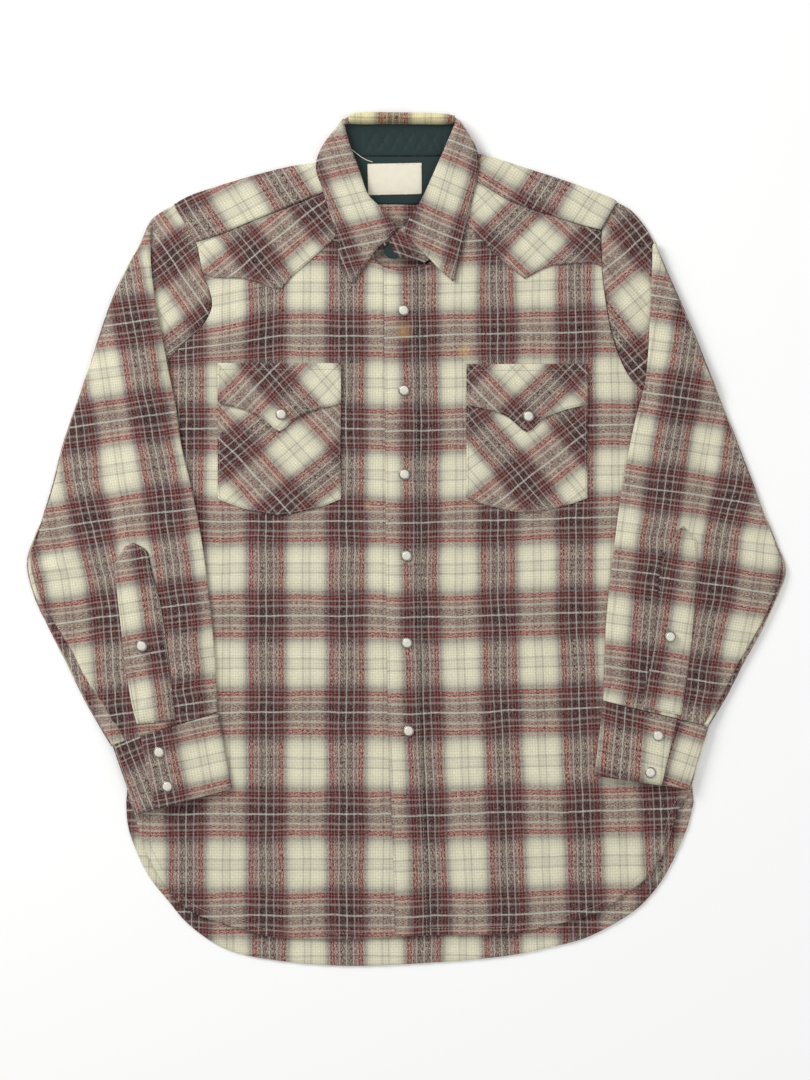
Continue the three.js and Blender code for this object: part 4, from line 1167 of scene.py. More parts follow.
def makeFrontYoke(side, lowerEdge, armhole, seam, neck):
    seamTo = seam[::-1]
    outline = outlineOf(
        lowerEdge, between(neck, lowerEdge[-1][1] + 4, seam[-1][1] - 1)[::-1], seamTo,
        between(armhole, lowerEdge[0][1] + 2, seam[0][1] - 2),
    )
    at = yokePlaid[side]
    inward = 1 if side == "right" else -1
    row = movedEdge(resample(lowerEdge, 3), 1.8 * inward)
    along = movedEdge(seam, -2.0 * inward)
    for line in (row, along):
        sew(line, yokeTop)
    piece = clothSheet(
        "frontYoke" + side.title(), outline, yokeTop,
        turnedPlaid(at), pitch=3, seams=[row, along], under=onFront,
        extra=swell(0.2, 2, 6),
    )
    return declare(
        piece, flannelFace, ["front_yoke_" + side]
    )


makeFrontYoke("right", yokeEdgeRight, armholeRight, strapSeamRight, neckRight)
makeFrontYoke("left", yokeEdgeLeft, armholeLeft, strapSeamLeft, neckLeft)

# Pockets and flaps, bias cut

pockets = {
    "right": {
        "left": -188.8, "right": -65.5, "top": 176.4, "side": 40.5, "point": 24.5,
        "plaid": {
            "x": -122.2, "y": 31.9, "warp": 39.6, "weft": -47.2, "warpRepeat": 76.8, "weftRepeat": 94.9
        },
        "flapPlaid": {
            "x": -72.6, "y": 94.1, "warp": -48.4, "weft": 45, "warpRepeat": 73.2, "weftRepeat": 96.4
        },
    },
    "left": {
        "left": 60, "right": 181, "top": 175.5, "side": 41.5, "point": 27,
        "plaid": {
            "x": 117.6, "y": 58.2, "warp": -49.9, "weft": 37.9, "warpRepeat": 73.8, "weftRepeat": 95.4
        },
        "flapPlaid": {
            "x": 104.6, "y": 113.7, "warp": 44.8, "weft": -45.7, "warpRepeat": 74.1, "weftRepeat": 90.3
        },
    },
}
pocketHidden = 12
flapSide = 40
flapPoint = 68


def makePocket(side):
    p = pockets[side]
    middle, half = (p["left"] + p["right"]) / 2, (p["right"] - p["left"]) / 2
    low = p["side"] * 0.45 + p["point"] * 0.55
    out, tip = half * 0.62, p["point"] + 0.6
    rightward = [[middle + 10, tip], [middle + out, low], [p["right"], p["side"]]]
    bottom = splineEdge([[p["left"], p["side"]], [middle - out, low], [middle - 10, tip]] + rightward, 2.5)
    topY = p["top"] - pocketHidden
    outline = outlineOf([[p["left"], topY]], bottom, [[p["right"], topY]])
    edge = np.vstack([[[p["left"], topY]], bottom, [[p["right"], topY]]])
    row = movedEdge(resample(edge, 2.5), 1.8)
    sew(row, yokeTop)
    piece = clothSheet(
        "chestPocket" + side.title(), outline, yokeTop, turnedPlaid(p["plaid"]), pitch=2.8, seams=[row],
        under=onFront, extra=swell(0.25, 2.5, 12),
    )
    return declare(
        piece, flannelFace, ["pocket_" + side]
    )


def flapUnder(x, y):
    return yokeTop(x, y) + form["gap"]


def flapTop(x, y):
    return flapUnder(x, y) + form["doubled"]


def makeFlap(side):
    p = pockets[side]
    middle, half, top = (p["left"] + p["right"]) / 2, (p["right"] - p["left"]) / 2, p["top"]
    leftEdge = [
        [p["left"], top - flapSide + 2], [p["left"] + 5, top - flapSide - 1.5],
        [middle - half * 0.62, top - flapSide - 6],
        [middle - half * 0.32, top - flapSide - 13], [middle - 5, top - flapPoint + 2.5],
    ]
    rightEdge = [[2 * middle - x, y] for x, y in leftEdge[::-1]]
    lower = np.vstack([splineEdge(leftEdge, 2.5), [[middle, top - flapPoint]], splineEdge(rightEdge, 2.5)])
    outline = outlineOf([[p["left"], top]], lower, [[p["right"], top]])
    row = movedEdge(resample(lower, 2.5), 2.2)
    upper = [[p["left"] + 1, top - 6.5], [p["right"] - 1, top - 6.5]]
    sides = [
        [[p["left"] + 2.2, top - 1], [p["left"] + 2.2, top - flapSide]],
        [[p["right"] - 2.2, top - flapSide], [p["right"] - 2.2, top - 1]]
    ]
    for line in [row, upper] + sides:
        sew(resample(line, 3), lambda x, y: flapTop(x, y) + 0.1)
    piece = clothSheet(
        "pocketFlap" + side.title(), outline, flapTop, turnedPlaid(p["flapPlaid"]),
        thickness=form["doubled"],
        pitch=2.6, seams=[row, upper], under=flapUnder, extra=swell(0.3, 2.5, 9),
    )
    return declare(
        piece, flannelFace, ["pocket_flap_" + side]
    )


for side in ("right", "left"):
    makePocket(side)
    makeFlap(side)
print("stage: pockets made")

# Sleeves

capOuter = {
    "right": splineEdge(
        [
            [-233.4, 334.7], [-245, 328.5], [-255, 321], [-262, 308], [-270, 286], [-283, 258],
            [-296, 226], [-305, 192]
        ]
    ),
    "left": splineEdge(
        [
            [210.9, 337.2], [223, 331.5], [234, 320], [243, 307], [250, 292], [258, 268], [269, 242],
            [282, 212], [292, 182]
        ]
    ),
}
capLower = {
    "right": splineEdge([[-305, 192], [-306, 168], [-290, 146], [-268, 139], [-250.2, 141]]),
    "left": splineEdge([[292, 182], [294, 162], [284, 146], [266, 139], [249.2, 141]]),
}
armholes = {"right": armholeRight, "left": armholeLeft}
inwards = {"right": 1, "left": -1}
capForm = {"high": 6.2, "low": 4.4, "edge": 3.2, "edgeWide": 22, "puff": 0.9}
capFolds = {
    "right": tableOf(
        "x y turn long wide high",
        (-222, 268, 66, 34, 6, 0.9), (-232, 236, 58, 30, 5, -0.7), (-214, 224, 28, 16, 4, 0.6),
        (-224, 210, 34, 16, 4, -0.6),
    ),
    "left": tableOf(
        "x y turn long wide high",
        (206, 276, 172, 13, 4.2, 1.1), (208, 264, 168, 13, 4, -0.8), (210, 252, 164, 14, 4.2, 1.0),
        (213, 239, 160, 14, 4, -0.8), (216, 227, 156, 13, 4.2, 0.9), (224, 300, 98, 26, 6, 0.8),
        (232, 262, 104, 40, 6, -0.7), (226, 214, 112, 30, 5, 0.8), (205, 282, 118, 16, 4.5, 0.9),
        (212, 262, 100, 18, 4.5, -0.8), (219, 250, 112, 22, 5, 1.0), (206, 232, 80, 16, 5, 0.8),
    ),
}


def capTop(side, x, y):
    points = np.column_stack([np.ravel(x), np.ravel(y)])
    crown = capForm["low"] + (capForm["high"] - capForm["low"]) * smooth(y, 205, 290)
    far = distanceTo(points, capOuter[side]).reshape(np.shape(x))
    seamFar = distanceTo(points, armholes[side]).reshape(np.shape(x))
    shape = foldHeight(capFolds[side], x, y) + relief(x, y, 0.8)
    puff = capForm["puff"] * smooth(seamFar, 0, 5) - capForm["puff"]
    edge = capForm["edge"]
    body = edge + (crown - edge) * smooth(far, 0, capForm["edgeWide"])
    return body + shape * smooth(far, 2, 20) + puff * smooth(far, 2, 12)


armSections = {
    "right": tableOf(
        "outer inner puff",
        ([-259, 315], [-255.5, 312], 0.4), ([-266, 298], [-256, 294], 0.8),
        ([-279, 275], [-255.2, 271], 1.2), ([-295, 240], [-251.5, 242], 2.0),
        ([-308, 203], [-245, 206], 2.6), ([-320, 166], [-237.5, 166], 3.0),
        ([-333, 130], [-230.5, 132], 3.0), ([-345, 94], [-225, 94], 3.0),
        ([-354, 58], [-217, 60], 3.0), ([-364, 26], [-210, 28], 3.2), ([-375.5, -3], [-204, -6], 3.6),
        ([-380.6, -26], [-200, -34], 3.8), ([-373, -58], [-198, -54], 3.4),
        ([-355, -96], [-195, -78], 3.0), ([-337, -132], [-192.5, -105], 2.8),
        ([-319, -168], [-190.5, -135], 2.6), ([-295.5, -207], [-189, -172.5], 2.2),
    ),
    "left": tableOf(
        "outer inner puff",
        ([249, 299], [246.6, 294], 0.4), ([255, 283], [246, 277], 0.8),
        ([264.5, 261], [245, 256], 1.2), ([276.5, 234], [243.5, 222], 1.8),
        ([290, 202], [242, 190], 2.4), ([304, 166], [238.5, 156], 2.8),
        ([319.5, 130], [229.5, 122], 3.0), ([333, 94], [222.5, 90], 3.0),
        ([347, 58], [216.5, 56], 3.0), ([360, 24], [211.5, 24], 3.2), ([371.5, -5], [207.5, -8], 3.6),
        ([380.6, -30], [204, -36], 3.8), ([372, -58], [201.5, -58], 3.4),
        ([357, -90], [199.5, -82], 3.0), ([339, -122], [198.3, -105], 2.8),
        ([321, -157], [197.5, -130], 2.6), ([302.5, -187], [196.8, -161], 2.2),
    ),
}
armFolds = {
    "right": tableOf(
        "x y turn long wide high",
        (-318, -138, 122, 34, 7, 1.3), (-304, -168, 112, 24, 5, -1.4), (-296, -186, 106, 20, 4.5, 1.2),
        (-286, -176, 98, 22, 4.5, -1.0), (-350, -22, 20, 36, 8, 1.1), (-330, 4, 30, 40, 9, -0.8),
        (-262, 96, 100, 60, 12, 0.9), (-300, 110, 66, 54, 12, -0.7), (-262, -14, 112, 46, 10, 0.9),
        (-216, -60, 96, 60, 9, 0.6), (-322, -137, -60, 32, 4.5, 0.8), (-301, -176, -58, 26, 5, -0.7),
        (-345, -30, -12, 24, 5, 0.6), (-262, -168, 70, 22, 4, 0.5),
    ),
    "left": tableOf(
        "x y turn long wide high",
        (300, -156, 58, 34, 7, 1.2), (288, -166, 66, 26, 5, -1.2), (352, -24, 160, 36, 8, 1.1),
        (330, 6, 150, 40, 9, -0.8), (262, 150, 84, 50, 11, 0.9), (290, 96, 112, 54, 12, -0.7),
        (262, 0, 62, 40, 8, 0.9), (226, 120, 96, 60, 10, 0.6), (234, -140, 92, 26, 6, 0.8),
        (218, -148, 96, 20, 5, -0.6), (318, -42, 38, 28, 5, 0.6), (292, -118, 62, 34, 6, 0.7),
        (284, -158, 74, 22, 4, -0.6),
    ),
}
armGap = 0.5


# What an arm or a cuff lies on: the body, its own cap, or the surface beside them.
def support(side, x, y):
    left, right = column(bodySides, "left", y), column(bodySides, "right", y)
    beside = np.maximum(left - x, x - right)
    onBody = (1 - smooth(beside, 14, 44)) * (y < 330)
    height = (frontTop(np.clip(x, left + 1, right - 1), y) + armGap) * onBody
    points = np.column_stack([np.ravel(x), np.ravel(y)])
    loop = np.vstack([capOuter[side], capLower[side], armholes[side][::-1]])
    inCap = insideOf(points, loop).reshape(np.shape(x))
    capFar = np.where(inCap, 0, distanceTo(points, loop, True).reshape(np.shape(x)))
    onCap = (1 - smooth(capFar, 10, 34)) * (capTop(side, x, y) + armGap)
    return np.maximum(height, onCap)


def sectionAt(side, share):
    rows = armSections[side]
    p = np.array([r["outer"] + r["inner"] + [r["puff"]] for r in rows], float)
    dense = splineRows(p, share)
    return dense[:, :2], dense[:, 2:4], dense[:, 4]


def splineRows(p, share):
    at = np.clip(share, 0, 1) * (len(p) - 1)
    i = np.minimum(at.astype(int), len(p) - 2)
    t = (at - i)[:, None]
    padded = np.vstack([p[:1], p, p[-1:]])
    a, b, c, d = padded[i], padded[i + 1], padded[i + 2], padded[np.minimum(i + 3, len(padded) - 1)]
    return 0.5 * (2 * b + (c - a) * t + (2 * a - 5 * b + 4 * c - d) * t**2 + (3 * b - a - 3 * c + d) * t**3)


armSteps = 190
acrossSteps = 62
# The under-arm seam shows as a groove a little inside the outer fold: its distance from it, by height.
armSeams = {
    "right": tableOf(
        "y in",
        (-170, 15), (-135, 12), (-107, 11), (-73, 6), (-30, 4.5), (0, 4), (60, -4),
    ),
    "left": tableOf(
        "y in",
        (-170, 5), (-135, 5), (-107, 4.5), (-73, 4), (-30, 3), (0, 1), (60, -4),
    ),
}


def armRows(side):
    share = np.linspace(0, 1, armSteps)
    outer, inner, puff = sectionAt(side, share)
    width = np.linalg.norm(inner - outer, axis=1)
    unit = (inner - outer) / width[:, None]
    cloth = form["cloth"]
    room = np.minimum(1.6, 0.5 + puff * 0.6)
    radius = (cloth + room) / 2
    inset = np.minimum(radius + cloth / 2, width * 0.46)
    even = np.linspace(0, 1, acrossSteps)
    across = even - 0.72 / (2 * math.pi) * np.sin(2 * math.pi * even)
    distance = inset[:, None] + (width - 2 * inset)[:, None] * across
    plan = outer[:, None] + unit[:, None] * distance[..., None]
    x, y = plan[..., 0], plan[..., 1]
    low = support(side, x, y) + cloth / 2
    crown = np.sin(np.pi * np.clip(across, 0.0005, 0.9995))[None] ** 0.55
    shape = (foldHeight(armFolds[side], x, y) * 2.4 + relief(x, y, 2.1)) * np.minimum(1, crown * 1.6)
    shape = shape - 1.3 * np.exp(-(((distance - column(armSeams[side], "in", y)) / 1.1) ** 2))
    high = low + (cloth + room)[:, None] + puff[:, None] * crown + shape
    high = np.maximum(high, low + cloth * 0.9)
    over = np.dstack([x, y, high])
    under = np.dstack([x, y, low])
    folds = {}
    for name, col, sign in (("inner", -1, 1), ("outer", 0, -1)):
        steps = []
        for a in np.linspace(0, math.pi, 8)[1:-1]:
            swing = (np.sin(a) * np.minimum(radius, inset - cloth / 2) * sign)[:, None] * unit
            rise = (1 - math.cos(a)) / 2
            start, end = over[:, col], under[:, col]
            z = start[:, 2] + (end[:, 2] - start[:, 2]) * rise
            steps.append(np.column_stack([start[:, :2] + swing, z]))
        folds[name] = np.stack(steps, axis=1)
    lattice = np.concatenate([over, folds["inner"], under[:, ::-1], folds["outer"][:, ::-1]], axis=1)
    return lattice, over


# Where the plaid falls on the arms: light warp threads at a few heights, and light weft threads by
# their height at one place and their slope.
armPlaid = {
    "right": {
        "warp": tableOf(
            "y a pitch",
            (200, -270, 74), (110, -253.5, 76), (60, -244.8, 80), (0, -235.5, 75), (-33, -231, 71),
            (-73, -226, 70), (-133, -221.5, 70), (-220, -214, 72),
        ),
        "at": -205, "slope": 0.14, "outward": -1,
        "weft": tableOf(
            "band y",
            (6, 323), (5, 227), (4, 131), (3, 32.5), (2, -63.5), (1, -162.5), (0, -259),
        ),
    },
    "left": {
        "warp": tableOf(
            "y a pitch",
            (200, 283.5, 74), (116, 268.5, 70), (56, 258, 71), (0, 249.5, 65), (-60, 243.5, 63),
            (-117, 239, 55), (-167, 234, 52), (-220, 231, 52),
        ),
        "at": 250, "slope": -0.15, "outward": 1,
        "weft": tableOf(
            "band y",
            (6, 340), (5, 243), (4, 145), (3, 50), (2, -36), (1, -134), (0, -232),
        ),
    },
}


# The cream between the two bands is narrower where the arm is turned in under itself.
def armCut(side, x, y):
    given = armPlaid[side]
    rows = sorted(given["warp"], key=lambda r: r["y"])
    at = np.array([r["y"] for r in rows], float)
    first = np.array([r["a"] for r in rows], float)
    low, high = (first[1] - first[0]) / (at[1] - at[0]), (first[-1] - first[-2]) / (at[-1] - at[-2])
    line = np.interp(y, at, first)
    line = np.where(y < at[0], first[0] + (y - at[0]) * low, line)
    line = np.where(y > at[-1], first[-1] + (y - at[-1]) * high, line)
    pitch = np.interp(y, at, [r["pitch"] for r in rows])
    out = (x - line) * given["outward"]
    repeat, half = plaid["warpRepeat"], 17.5
    squeezed = (half + (out - half) * (repeat - 2 * half) / (pitch - 2 * half)) / repeat
    u = np.where(
        out < half, out / repeat, np.where(out > pitch - half, 1 + (out - pitch) / repeat, squeezed)
    )
    v = bandAt(given["weft"], "y", y - given["slope"] * (x - given["at"]))
    return np.stack([u, v], axis=-1)


def makeArm(side):
    lattice, over = armRows(side)
    count = len(lattice)
    # The cut is unrolled from the inner fold: what turns under goes on round the tube.
    unit = over[:, -1, :2] - over[:, 0, :2]
    unit /= np.linalg.norm(unit, axis=1)[:, None]
    travelled = np.concatenate(
        [np.zeros((count, 1)), np.cumsum(np.linalg.norm(np.diff(lattice, axis=1), axis=2), axis=1)], axis=1
    )
    start = lattice[:, 0, :2]
    unrolled = start[:, None] + unit[:, None] * travelled[..., None]
    cut = armCut(side, unrolled[..., 0], unrolled[..., 1])
    # Beyond the under-arm seam the other edge of the sleeve's cloth shows, with its own stripes.
    fromFold = np.linalg.norm(over[..., :2] - over[:, :1, :2], axis=2)
    beyond = fromFold < column(armSeams[side], "in", over[..., 1]) - 1.2
    cut[:, :acrossSteps, 0] += 0.46 * (beyond & (over[..., 1] < 20))
    piece = clothWall("sleeveArm" + side.title(), lattice, cut, form["cloth"], closed=True)
    declare(piece, flannelFace, ["sleeve_" + side])
    return over


capPlaid = {
    "right": {"x": -236, "y": 281.5, "warp": 37.8, "weft": -55.7, "warpRepeat": 73.2, "weftRepeat": 88},
    "left": {"x": 235.6, "y": 301.6, "warp": -50, "weft": 40, "warpRepeat": 85, "weftRepeat": 97},
}


def makeCap(side):
    seam = movedEdge(armholes[side], -inwards[side] * form["gap"])
    outline = outlineOf(capOuter[side], capLower[side][1:], seam[::-1][:-1])
    at = capPlaid[side]
    covered = {"x": at["x"] + 20, "y": at["y"] - 30, "warp": at["warp"], "weft": at["weft"]}
    piece = clothSheet(
        "sleeveCap" + side.title(), outline, lambda x, y: capTop(side, x, y),
        turnedPlaid(at), pitch=2.8,
    )
    under = clothSheet(
        "sleeveCapUnder" + side.title(), outline, level(form["cloth"]),
        turnedPlaid(covered), pitch=5, under=level(0),
    )
    for made in (piece, under):
        declare(made, flannelFace, ["sleeve_" + side])


armTops = {}
for side in ("right", "left"):
    makeCap(side)
    armTops[side] = makeArm(side)
print("stage: sleeves made")


# Height of an arm's upper face at any place, read from its own lattice.
def armTopAt(side):
    flat = armTops[side].reshape(-1, 3)

    def height(x, y):
        out = np.empty(np.size(x))
        px, py = np.ravel(x), np.ravel(y)
        for start in range(0, len(px), 500):
            dx = flat[:, 0][None] - px[start : start + 500, None]
            dy = flat[:, 1][None] - py[start : start + 500, None]
            far = dx * dx + dy * dy
            near = np.argpartition(far, 4, axis=1)[:, :4]
            weight = 1 / (np.take_along_axis(far, near, axis=1) + 0.05)
            out[start : start + 500] = (flat[near, 2] * weight).sum(axis=1) / weight.sum(axis=1)
        return out.reshape(np.shape(x)) + form["cloth"] / 2

    return height


# Sleeve plackets

placketShape = {
    "right": {
        "outline": [[-292.5, -25.5], [-286.5, -78.5], [-281.5, -124.5], [-274.5, -165.5], [-269.5, -184.5],
                    [-230.5, -180.5], [-235.5, -135.5], [-241.5, -89.5], [-247.5, -55.5], [-253.5, -32.5],
                    [-257.5, -13.5], [-261.5, -8.5], [-272.5, -3.0], [-281.5, -7.5]],
        "plaid": {
            "x": -320.3, "y": -125.3, "warp": -81.8, "weft": 10, "warpRepeat": 82.9, "weftRepeat": 95.9
        },
    },
    "left": {
        "outline": [[276.5, 13.5], [269.5, 7.5], [254.5, -18.5], [251.5, -50.5], [248.5, -101.5],
                    [238.5, -147.5], [235.5, -167.5], [274.5, -175.5], [279.5, -142.5], [284.5, -105.5],
                    [287.5, -69.5], [290.5, -27.5], [290.5, -1.5]],
        "plaid": {
            "x": 316.9, "y": -143.5, "warp": 81.4, "weft": -9.6, "warpRepeat": 82, "weftRepeat": 94.2
        },
    },
}


def makePlacket(side):
    shape = placketShape[side]
    outline = outlineOf(shape["outline"], step=2.6)
    rest = armTopAt(side)
    top = lambda x, y: rest(x, y) + form["gap"] + form["cloth"]
    loop = np.array(shape["outline"], float)
    area = np.sum(loop[:, 0] * np.roll(loop[:, 1], -1) - np.roll(loop[:, 0], -1) * loop[:, 1])
    row = movedEdge(resample(np.vstack([loop, loop[:1]]), 2.6), 2.0 if area > 0 else -2.0)
    sew(row, lambda x, y: top(x, y) + 0.1)
    piece = clothSheet(
        "sleevePlacket" + side.title(), outline, top, turnedPlaid(shape["plaid"]), pitch=2.6, seams=[row],
        under=lambda x, y: rest(x, y) + form["gap"], extra=swell(0.25, 2, 7),
    )
    return declare(
        piece, flannelFace, ["sleeve_placket_" + side]
    )


for side in ("right", "left"):
    makePlacket(side)

# Cuffs

cuffs = {
    "right": {
        "sleeve": {"outer": [-294.6, -205.4], "inner": [-188.2, -173.1], "lap": 0.26},
        "hand": {"outer": [-270.5, -275.5], "inner": [-174, -248.5], "lap": 0.2},
        "plaid": {
            "x": -237.7, "y": -272, "warp": -79.7, "weft": 12.5, "warpRepeat": 89.5, "weftRepeat": 83.4
        },
        "underPlaid": {
            "x": -279.5, "y": -203.5, "warp": -68.5, "weft": 21.5, "warpRepeat": 80, "weftRepeat": 95
        },
    },
    "left": {
        "sleeve": {"outer": [302.6, -187.6], "inner": [196.8, -161.6], "lap": 0.3},
        "hand": {"outer": [284.5, -250], "inner": [187.6, -236], "lap": 0.3},
        "plaid": {
            "x": 299.2, "y": -283.9, "warp": 85.4, "weft": -15.1, "warpRepeat": 90.1, "weftRepeat": 95.9
        },
        "underPlaid": {
            "x": 306.8, "y": -273, "warp": 71.5, "weft": -18.4, "warpRepeat": 75.8, "weftRepeat": 83.7
        },
    },
}
lapDepth = 0.24
cuffRoom = 0.9


def cuffRows(side, rows=34):
    given = cuffs[side]
    lattice = []
    for share in np.linspace(0, 1, rows):
        mix = lambda name: np.array(
            given["sleeve"][name], float
        ) * (1 - share) + np.array(given["hand"][name], float) * share
        outer, inner = mix("outer"), mix("inner")
        lap = given["sleeve"]["lap"] * (1 - share) + given["hand"]["lap"] * share
        width = np.linalg.norm(inner - outer)
        unit = (inner - outer) / width
        thick = form["doubled"]
        radius = (thick + cuffRoom) / 2
        inset = radius + thick / 2
        single, crossed = thick + cuffRoom, 2 * thick + cuffRoom + 0.5

        def line(parts, level):
            parts = np.asarray(parts, float)
            distance = inset + (width - 2 * inset) * parts
            plan = outer + unit * distance[:, None]
            z = support(side, plan[:, 0], plan[:, 1]) + thick / 2 + level
            return np.column_stack([plan, z])

        def fold(start, end, sign):
            steps = []
            for a in np.linspace(0, math.pi, 8)[1:-1]:
                rise = (1 - math.cos(a)) / 2
                place = start[:2] + unit * math.sin(a) * radius * sign
                steps.append(np.append(place, start[2] + (end[2] - start[2]) * rise))
            return np.array(steps)

        hidden = line(np.linspace(lap + lapDepth, 0, 14), single)
        under = line(np.linspace(0, 1, 20), 0)
        parts = np.linspace(1, lap, 34)
        bulge = 1.1 * np.sin(np.pi * np.clip((parts - lap) / (1 - lap), 0.001, 0.999)) ** 0.7
        lifted = 1 - smooth(parts, lap + lapDepth + 0.02, lap + lapDepth + 0.26)
        over = line(parts, single + (crossed - single) * lifted + bulge)
        innerFold, outerFold = fold(hidden[-1], under[0], -1), fold(under[-1], over[0], 1)
        lattice.append(np.vstack([hidden, innerFold, under, outerFold, over]))
    return np.array(lattice)


def makeCuff(side):
    lattice = cuffRows(side)
    count, wide = lattice.shape[:2]
    plan = lattice[..., :2]
    last = plan[:, -1:]
    unit = plan[:, -1:] - plan[:, -20:-19]
    unit /= np.linalg.norm(unit, axis=2)[..., None]
    steps = np.linalg.norm(np.diff(lattice, axis=1), axis=2)
    back = np.concatenate([np.cumsum(steps[:, ::-1], axis=1)[:, ::-1], np.zeros((count, 1))], axis=1)
    unrolled = last - unit * back[..., None]
    over = turnedPlaid(cuffs[side]["plaid"])
    covered = turnedPlaid(cuffs[side]["underPlaid"])
    cut = over(unrolled[..., 0].ravel(), unrolled[..., 1].ravel()).reshape(count, wide, 2)
    cut[:, :14] = covered(plan[:, :14, 0].ravel(), plan[:, :14, 1].ravel()).reshape(count, 14, 2)
    piece = clothWall("cuffWall" + side.title(), lattice, cut, form["doubled"])
    declare(piece, flannelFace, ["cuff_" + side])


for side in ("right", "left"):
    makeCuff(side)
print("stage: cuffs made")

# Collar

rollRight = splineEdge([[-62, 414.5], [-56, 393], [-47, 369], [-39, 346], [-28, 334], [-9, 313]])
rollLeft = splineEdge([[48.6, 416], [39.7, 395], [27, 366], [14, 338], [3, 321], [-3, 310]])
leafRight = splineEdge(
    [[-58, 427], [-75, 406], [-87, 388], [-90.5, 370], [-84, 350], [-73, 313], [-64, 272], [-57, 257]]
)
leafLeft = splineEdge(
    [[49, 425], [60, 408], [69, 393], [72.5, 378], [70, 357], [62.6, 325], [52, 274], [49, 258]]
)
leafFrontRight = splineEdge([[-54, 257.5], [-44, 270], [-30.5, 289.5], [-10, 308]])
leafFrontLeft = splineEdge([[46, 258.5], [33, 270], [20.6, 283], [-1.5, 304]])
leafCloth = 2.2
rollRise = 3.2
collarFolds = tableOf(
    "x y turn long wide high",
    (-66, 382, 64, 22, 9, 0.8), (56, 384, 116, 22, 9, 0.8), (-62, 318, 100, 26, 8, 0.5),
    (50, 322, 80, 26, 8, 0.5),
)


def wingUnder(x, y):
    points = np.column_stack([np.ravel(x), np.ravel(y)])
    near = np.minimum(distanceTo(points, rollRight), distanceTo(points, rollLeft)).reshape(np.shape(x))
    rise = rollRise * (1 - smooth(near, 4, 52))
    base = yokeTop(x, y) + form["gap"]
    onNeck = backTop + form["neckLift"] + 2.1 + form["cloth"]
    blend = smooth(y, 340, 362)
    return base + (np.maximum(base, onNeck) - base) * blend + rise


def wingTop(x, y):
    near = np.ravel(wingUnder(x, y)).reshape(np.shape(x))
    return near + leafCloth + foldHeight(collarFolds, x, y)


collarPlaid = {
    "right": {"x": -67.9, "y": 289.5, "warp": -67.4, "weft": 12.5, "warpRepeat": 69.9, "weftRepeat": 91},
    "left": {"x": 60.6, "y": 295.1, "warp": 73.6, "weft": -22.6, "warpRepeat": 73.5, "weftRepeat": 88.9},
}


# The upper corners beside the roll, and the height below which the leaf is the wing's own.
wingCorners = {"right": [[-57.9, 415], [-57.9, 422.2]], "left": [[48.6, 417], [48.6, 421.4]]}
wingEnd = 419.5


def wingEdge(x, y, far):
    return -0.9 * (1 - smooth(far, 0, 3.2)) ** 2 + 0.2 * smooth(far, 3, 9)


def makeCollarLeaf():
    for side, leaf, front, roll in (
        ("right", leafRight, leafFrontRight, rollRight),
        ("left", leafLeft, leafFrontLeft, rollLeft),
    ):
        outline = outlineOf(leaf[leaf[:, 1] < wingEnd], front, roll[::-1][1:], wingCorners[side])
        sew(movedEdge(np.vstack([leaf[6:], front]), 2.6 * inwards[side]), wingTop, 0.1)
        piece = clothSheet(
            "collarWing" + side.title(), outline, wingTop, turnedPlaid(collarPlaid[side]),
            thickness=leafCloth, pitch=2.8, extra=wingEdge,
        )
        declare(piece, flannelFace, ["collar_leaf"])


collarRoll = {"x": -13.5, "y": 371.5, "warp": 90, "weft": 0, "warpRepeat": 70, "weftRepeat": 97}


# The roll behind the neck, from the stand's upper edge over to the leaf's back, seen as a narrow strip.
def makeCollarRoll():
    count, turns = 60, 22
    x = np.linspace(-57.6, 48.2, count)
    back = 427.1 - 0.9 * (x + 8) / 60 - 3.4 * np.abs((x + 5) / 55) ** 6
    front = 415.4 + 0.6 * np.cos((x + 8) / 34) + 1.2 * np.abs((x + 5) / 54) ** 6
    lattice = []
    for t in np.linspace(0, 1, turns):
        angle = math.pi * t
        y = (front + back) / 2 - (back - front) / 2 * np.cos(angle) * 0.94
        z = 4.6 + (9.2 + 0.4 * np.cos((x + 8) / 23)) * math.sin(angle) ** 0.62 - 2.2 * t**4
        lattice.append(np.column_stack([x, y, z]))
    for z in (2.6, 1.4):
        lattice.append(np.column_stack([x, lattice[-1][:, 1] - 0.25, np.full(count, z)]))
    lattice = np.array(lattice)
    flat = lengthsDown(lattice)
    xs = np.repeat(x[None], len(lattice), axis=0)
    cut = turnedPlaid(collarRoll)(xs.ravel(), (414 + flat).ravel())
    piece = clothWall("collarRoll", lattice, cut.reshape(len(lattice), count, 2), 1.6)
    return declare(piece, flannelAged, ["collar_leaf"])


# Under the neck the leaf goes on as one layer on the surface, joined to the wings by folded edges.
def makeCollarUnder():
    edges = {
        "right": between(leafRight, 384.5, 420.5),
        "left": between(leafLeft, 391, 419),
    }
    for side, edge in edges.items():
        line = resample(edge, 2.5)
        inset = [movedEdge(line, away * inwards[side]) for away in (5.0, 3.0, 1.6, 1.05, 1.0, 1.05, 1.7)]
        top = wingTop(line[:, 0], line[:, 1]) - 1.3
        even = 0 * top
        heights = [1.0 + even, 1.0 + even, 1.15 + even, 1.8 + even, 1.8 + (top - 1.8) * 0.5, top - 0.7, top]
        lattice = np.array([np.column_stack([plan, z]) for plan, z in zip(inset, heights)])
        flat = lattice.reshape(-1, 3)
        cut = turnedPlaid(collarPlaid[side])(flat[:, 0], flat[:, 1]).reshape(lattice.shape[0], len(line), 2)
        piece = clothWall("collarEdge" + side.title(), lattice, cut, 1.9)
        declare(piece, flannelFace, ["collar_leaf"])
    right, left = (movedEdge(edges[side], 1.2 * inwards[side]) for side in ("right", "left"))
    outline = outlineOf(right[::-1], left, [[50, 372.4], [-8, 370.4], [-65.6, 369.4]])
    piece = clothSheet(
        "collarLeafUnder", outline, level(2.0), turnedPlaid(collarRoll), thickness=2.0,
        pitch=5, under=level(0),
    )
    declare(piece, flannelFace, ["collar_leaf"])


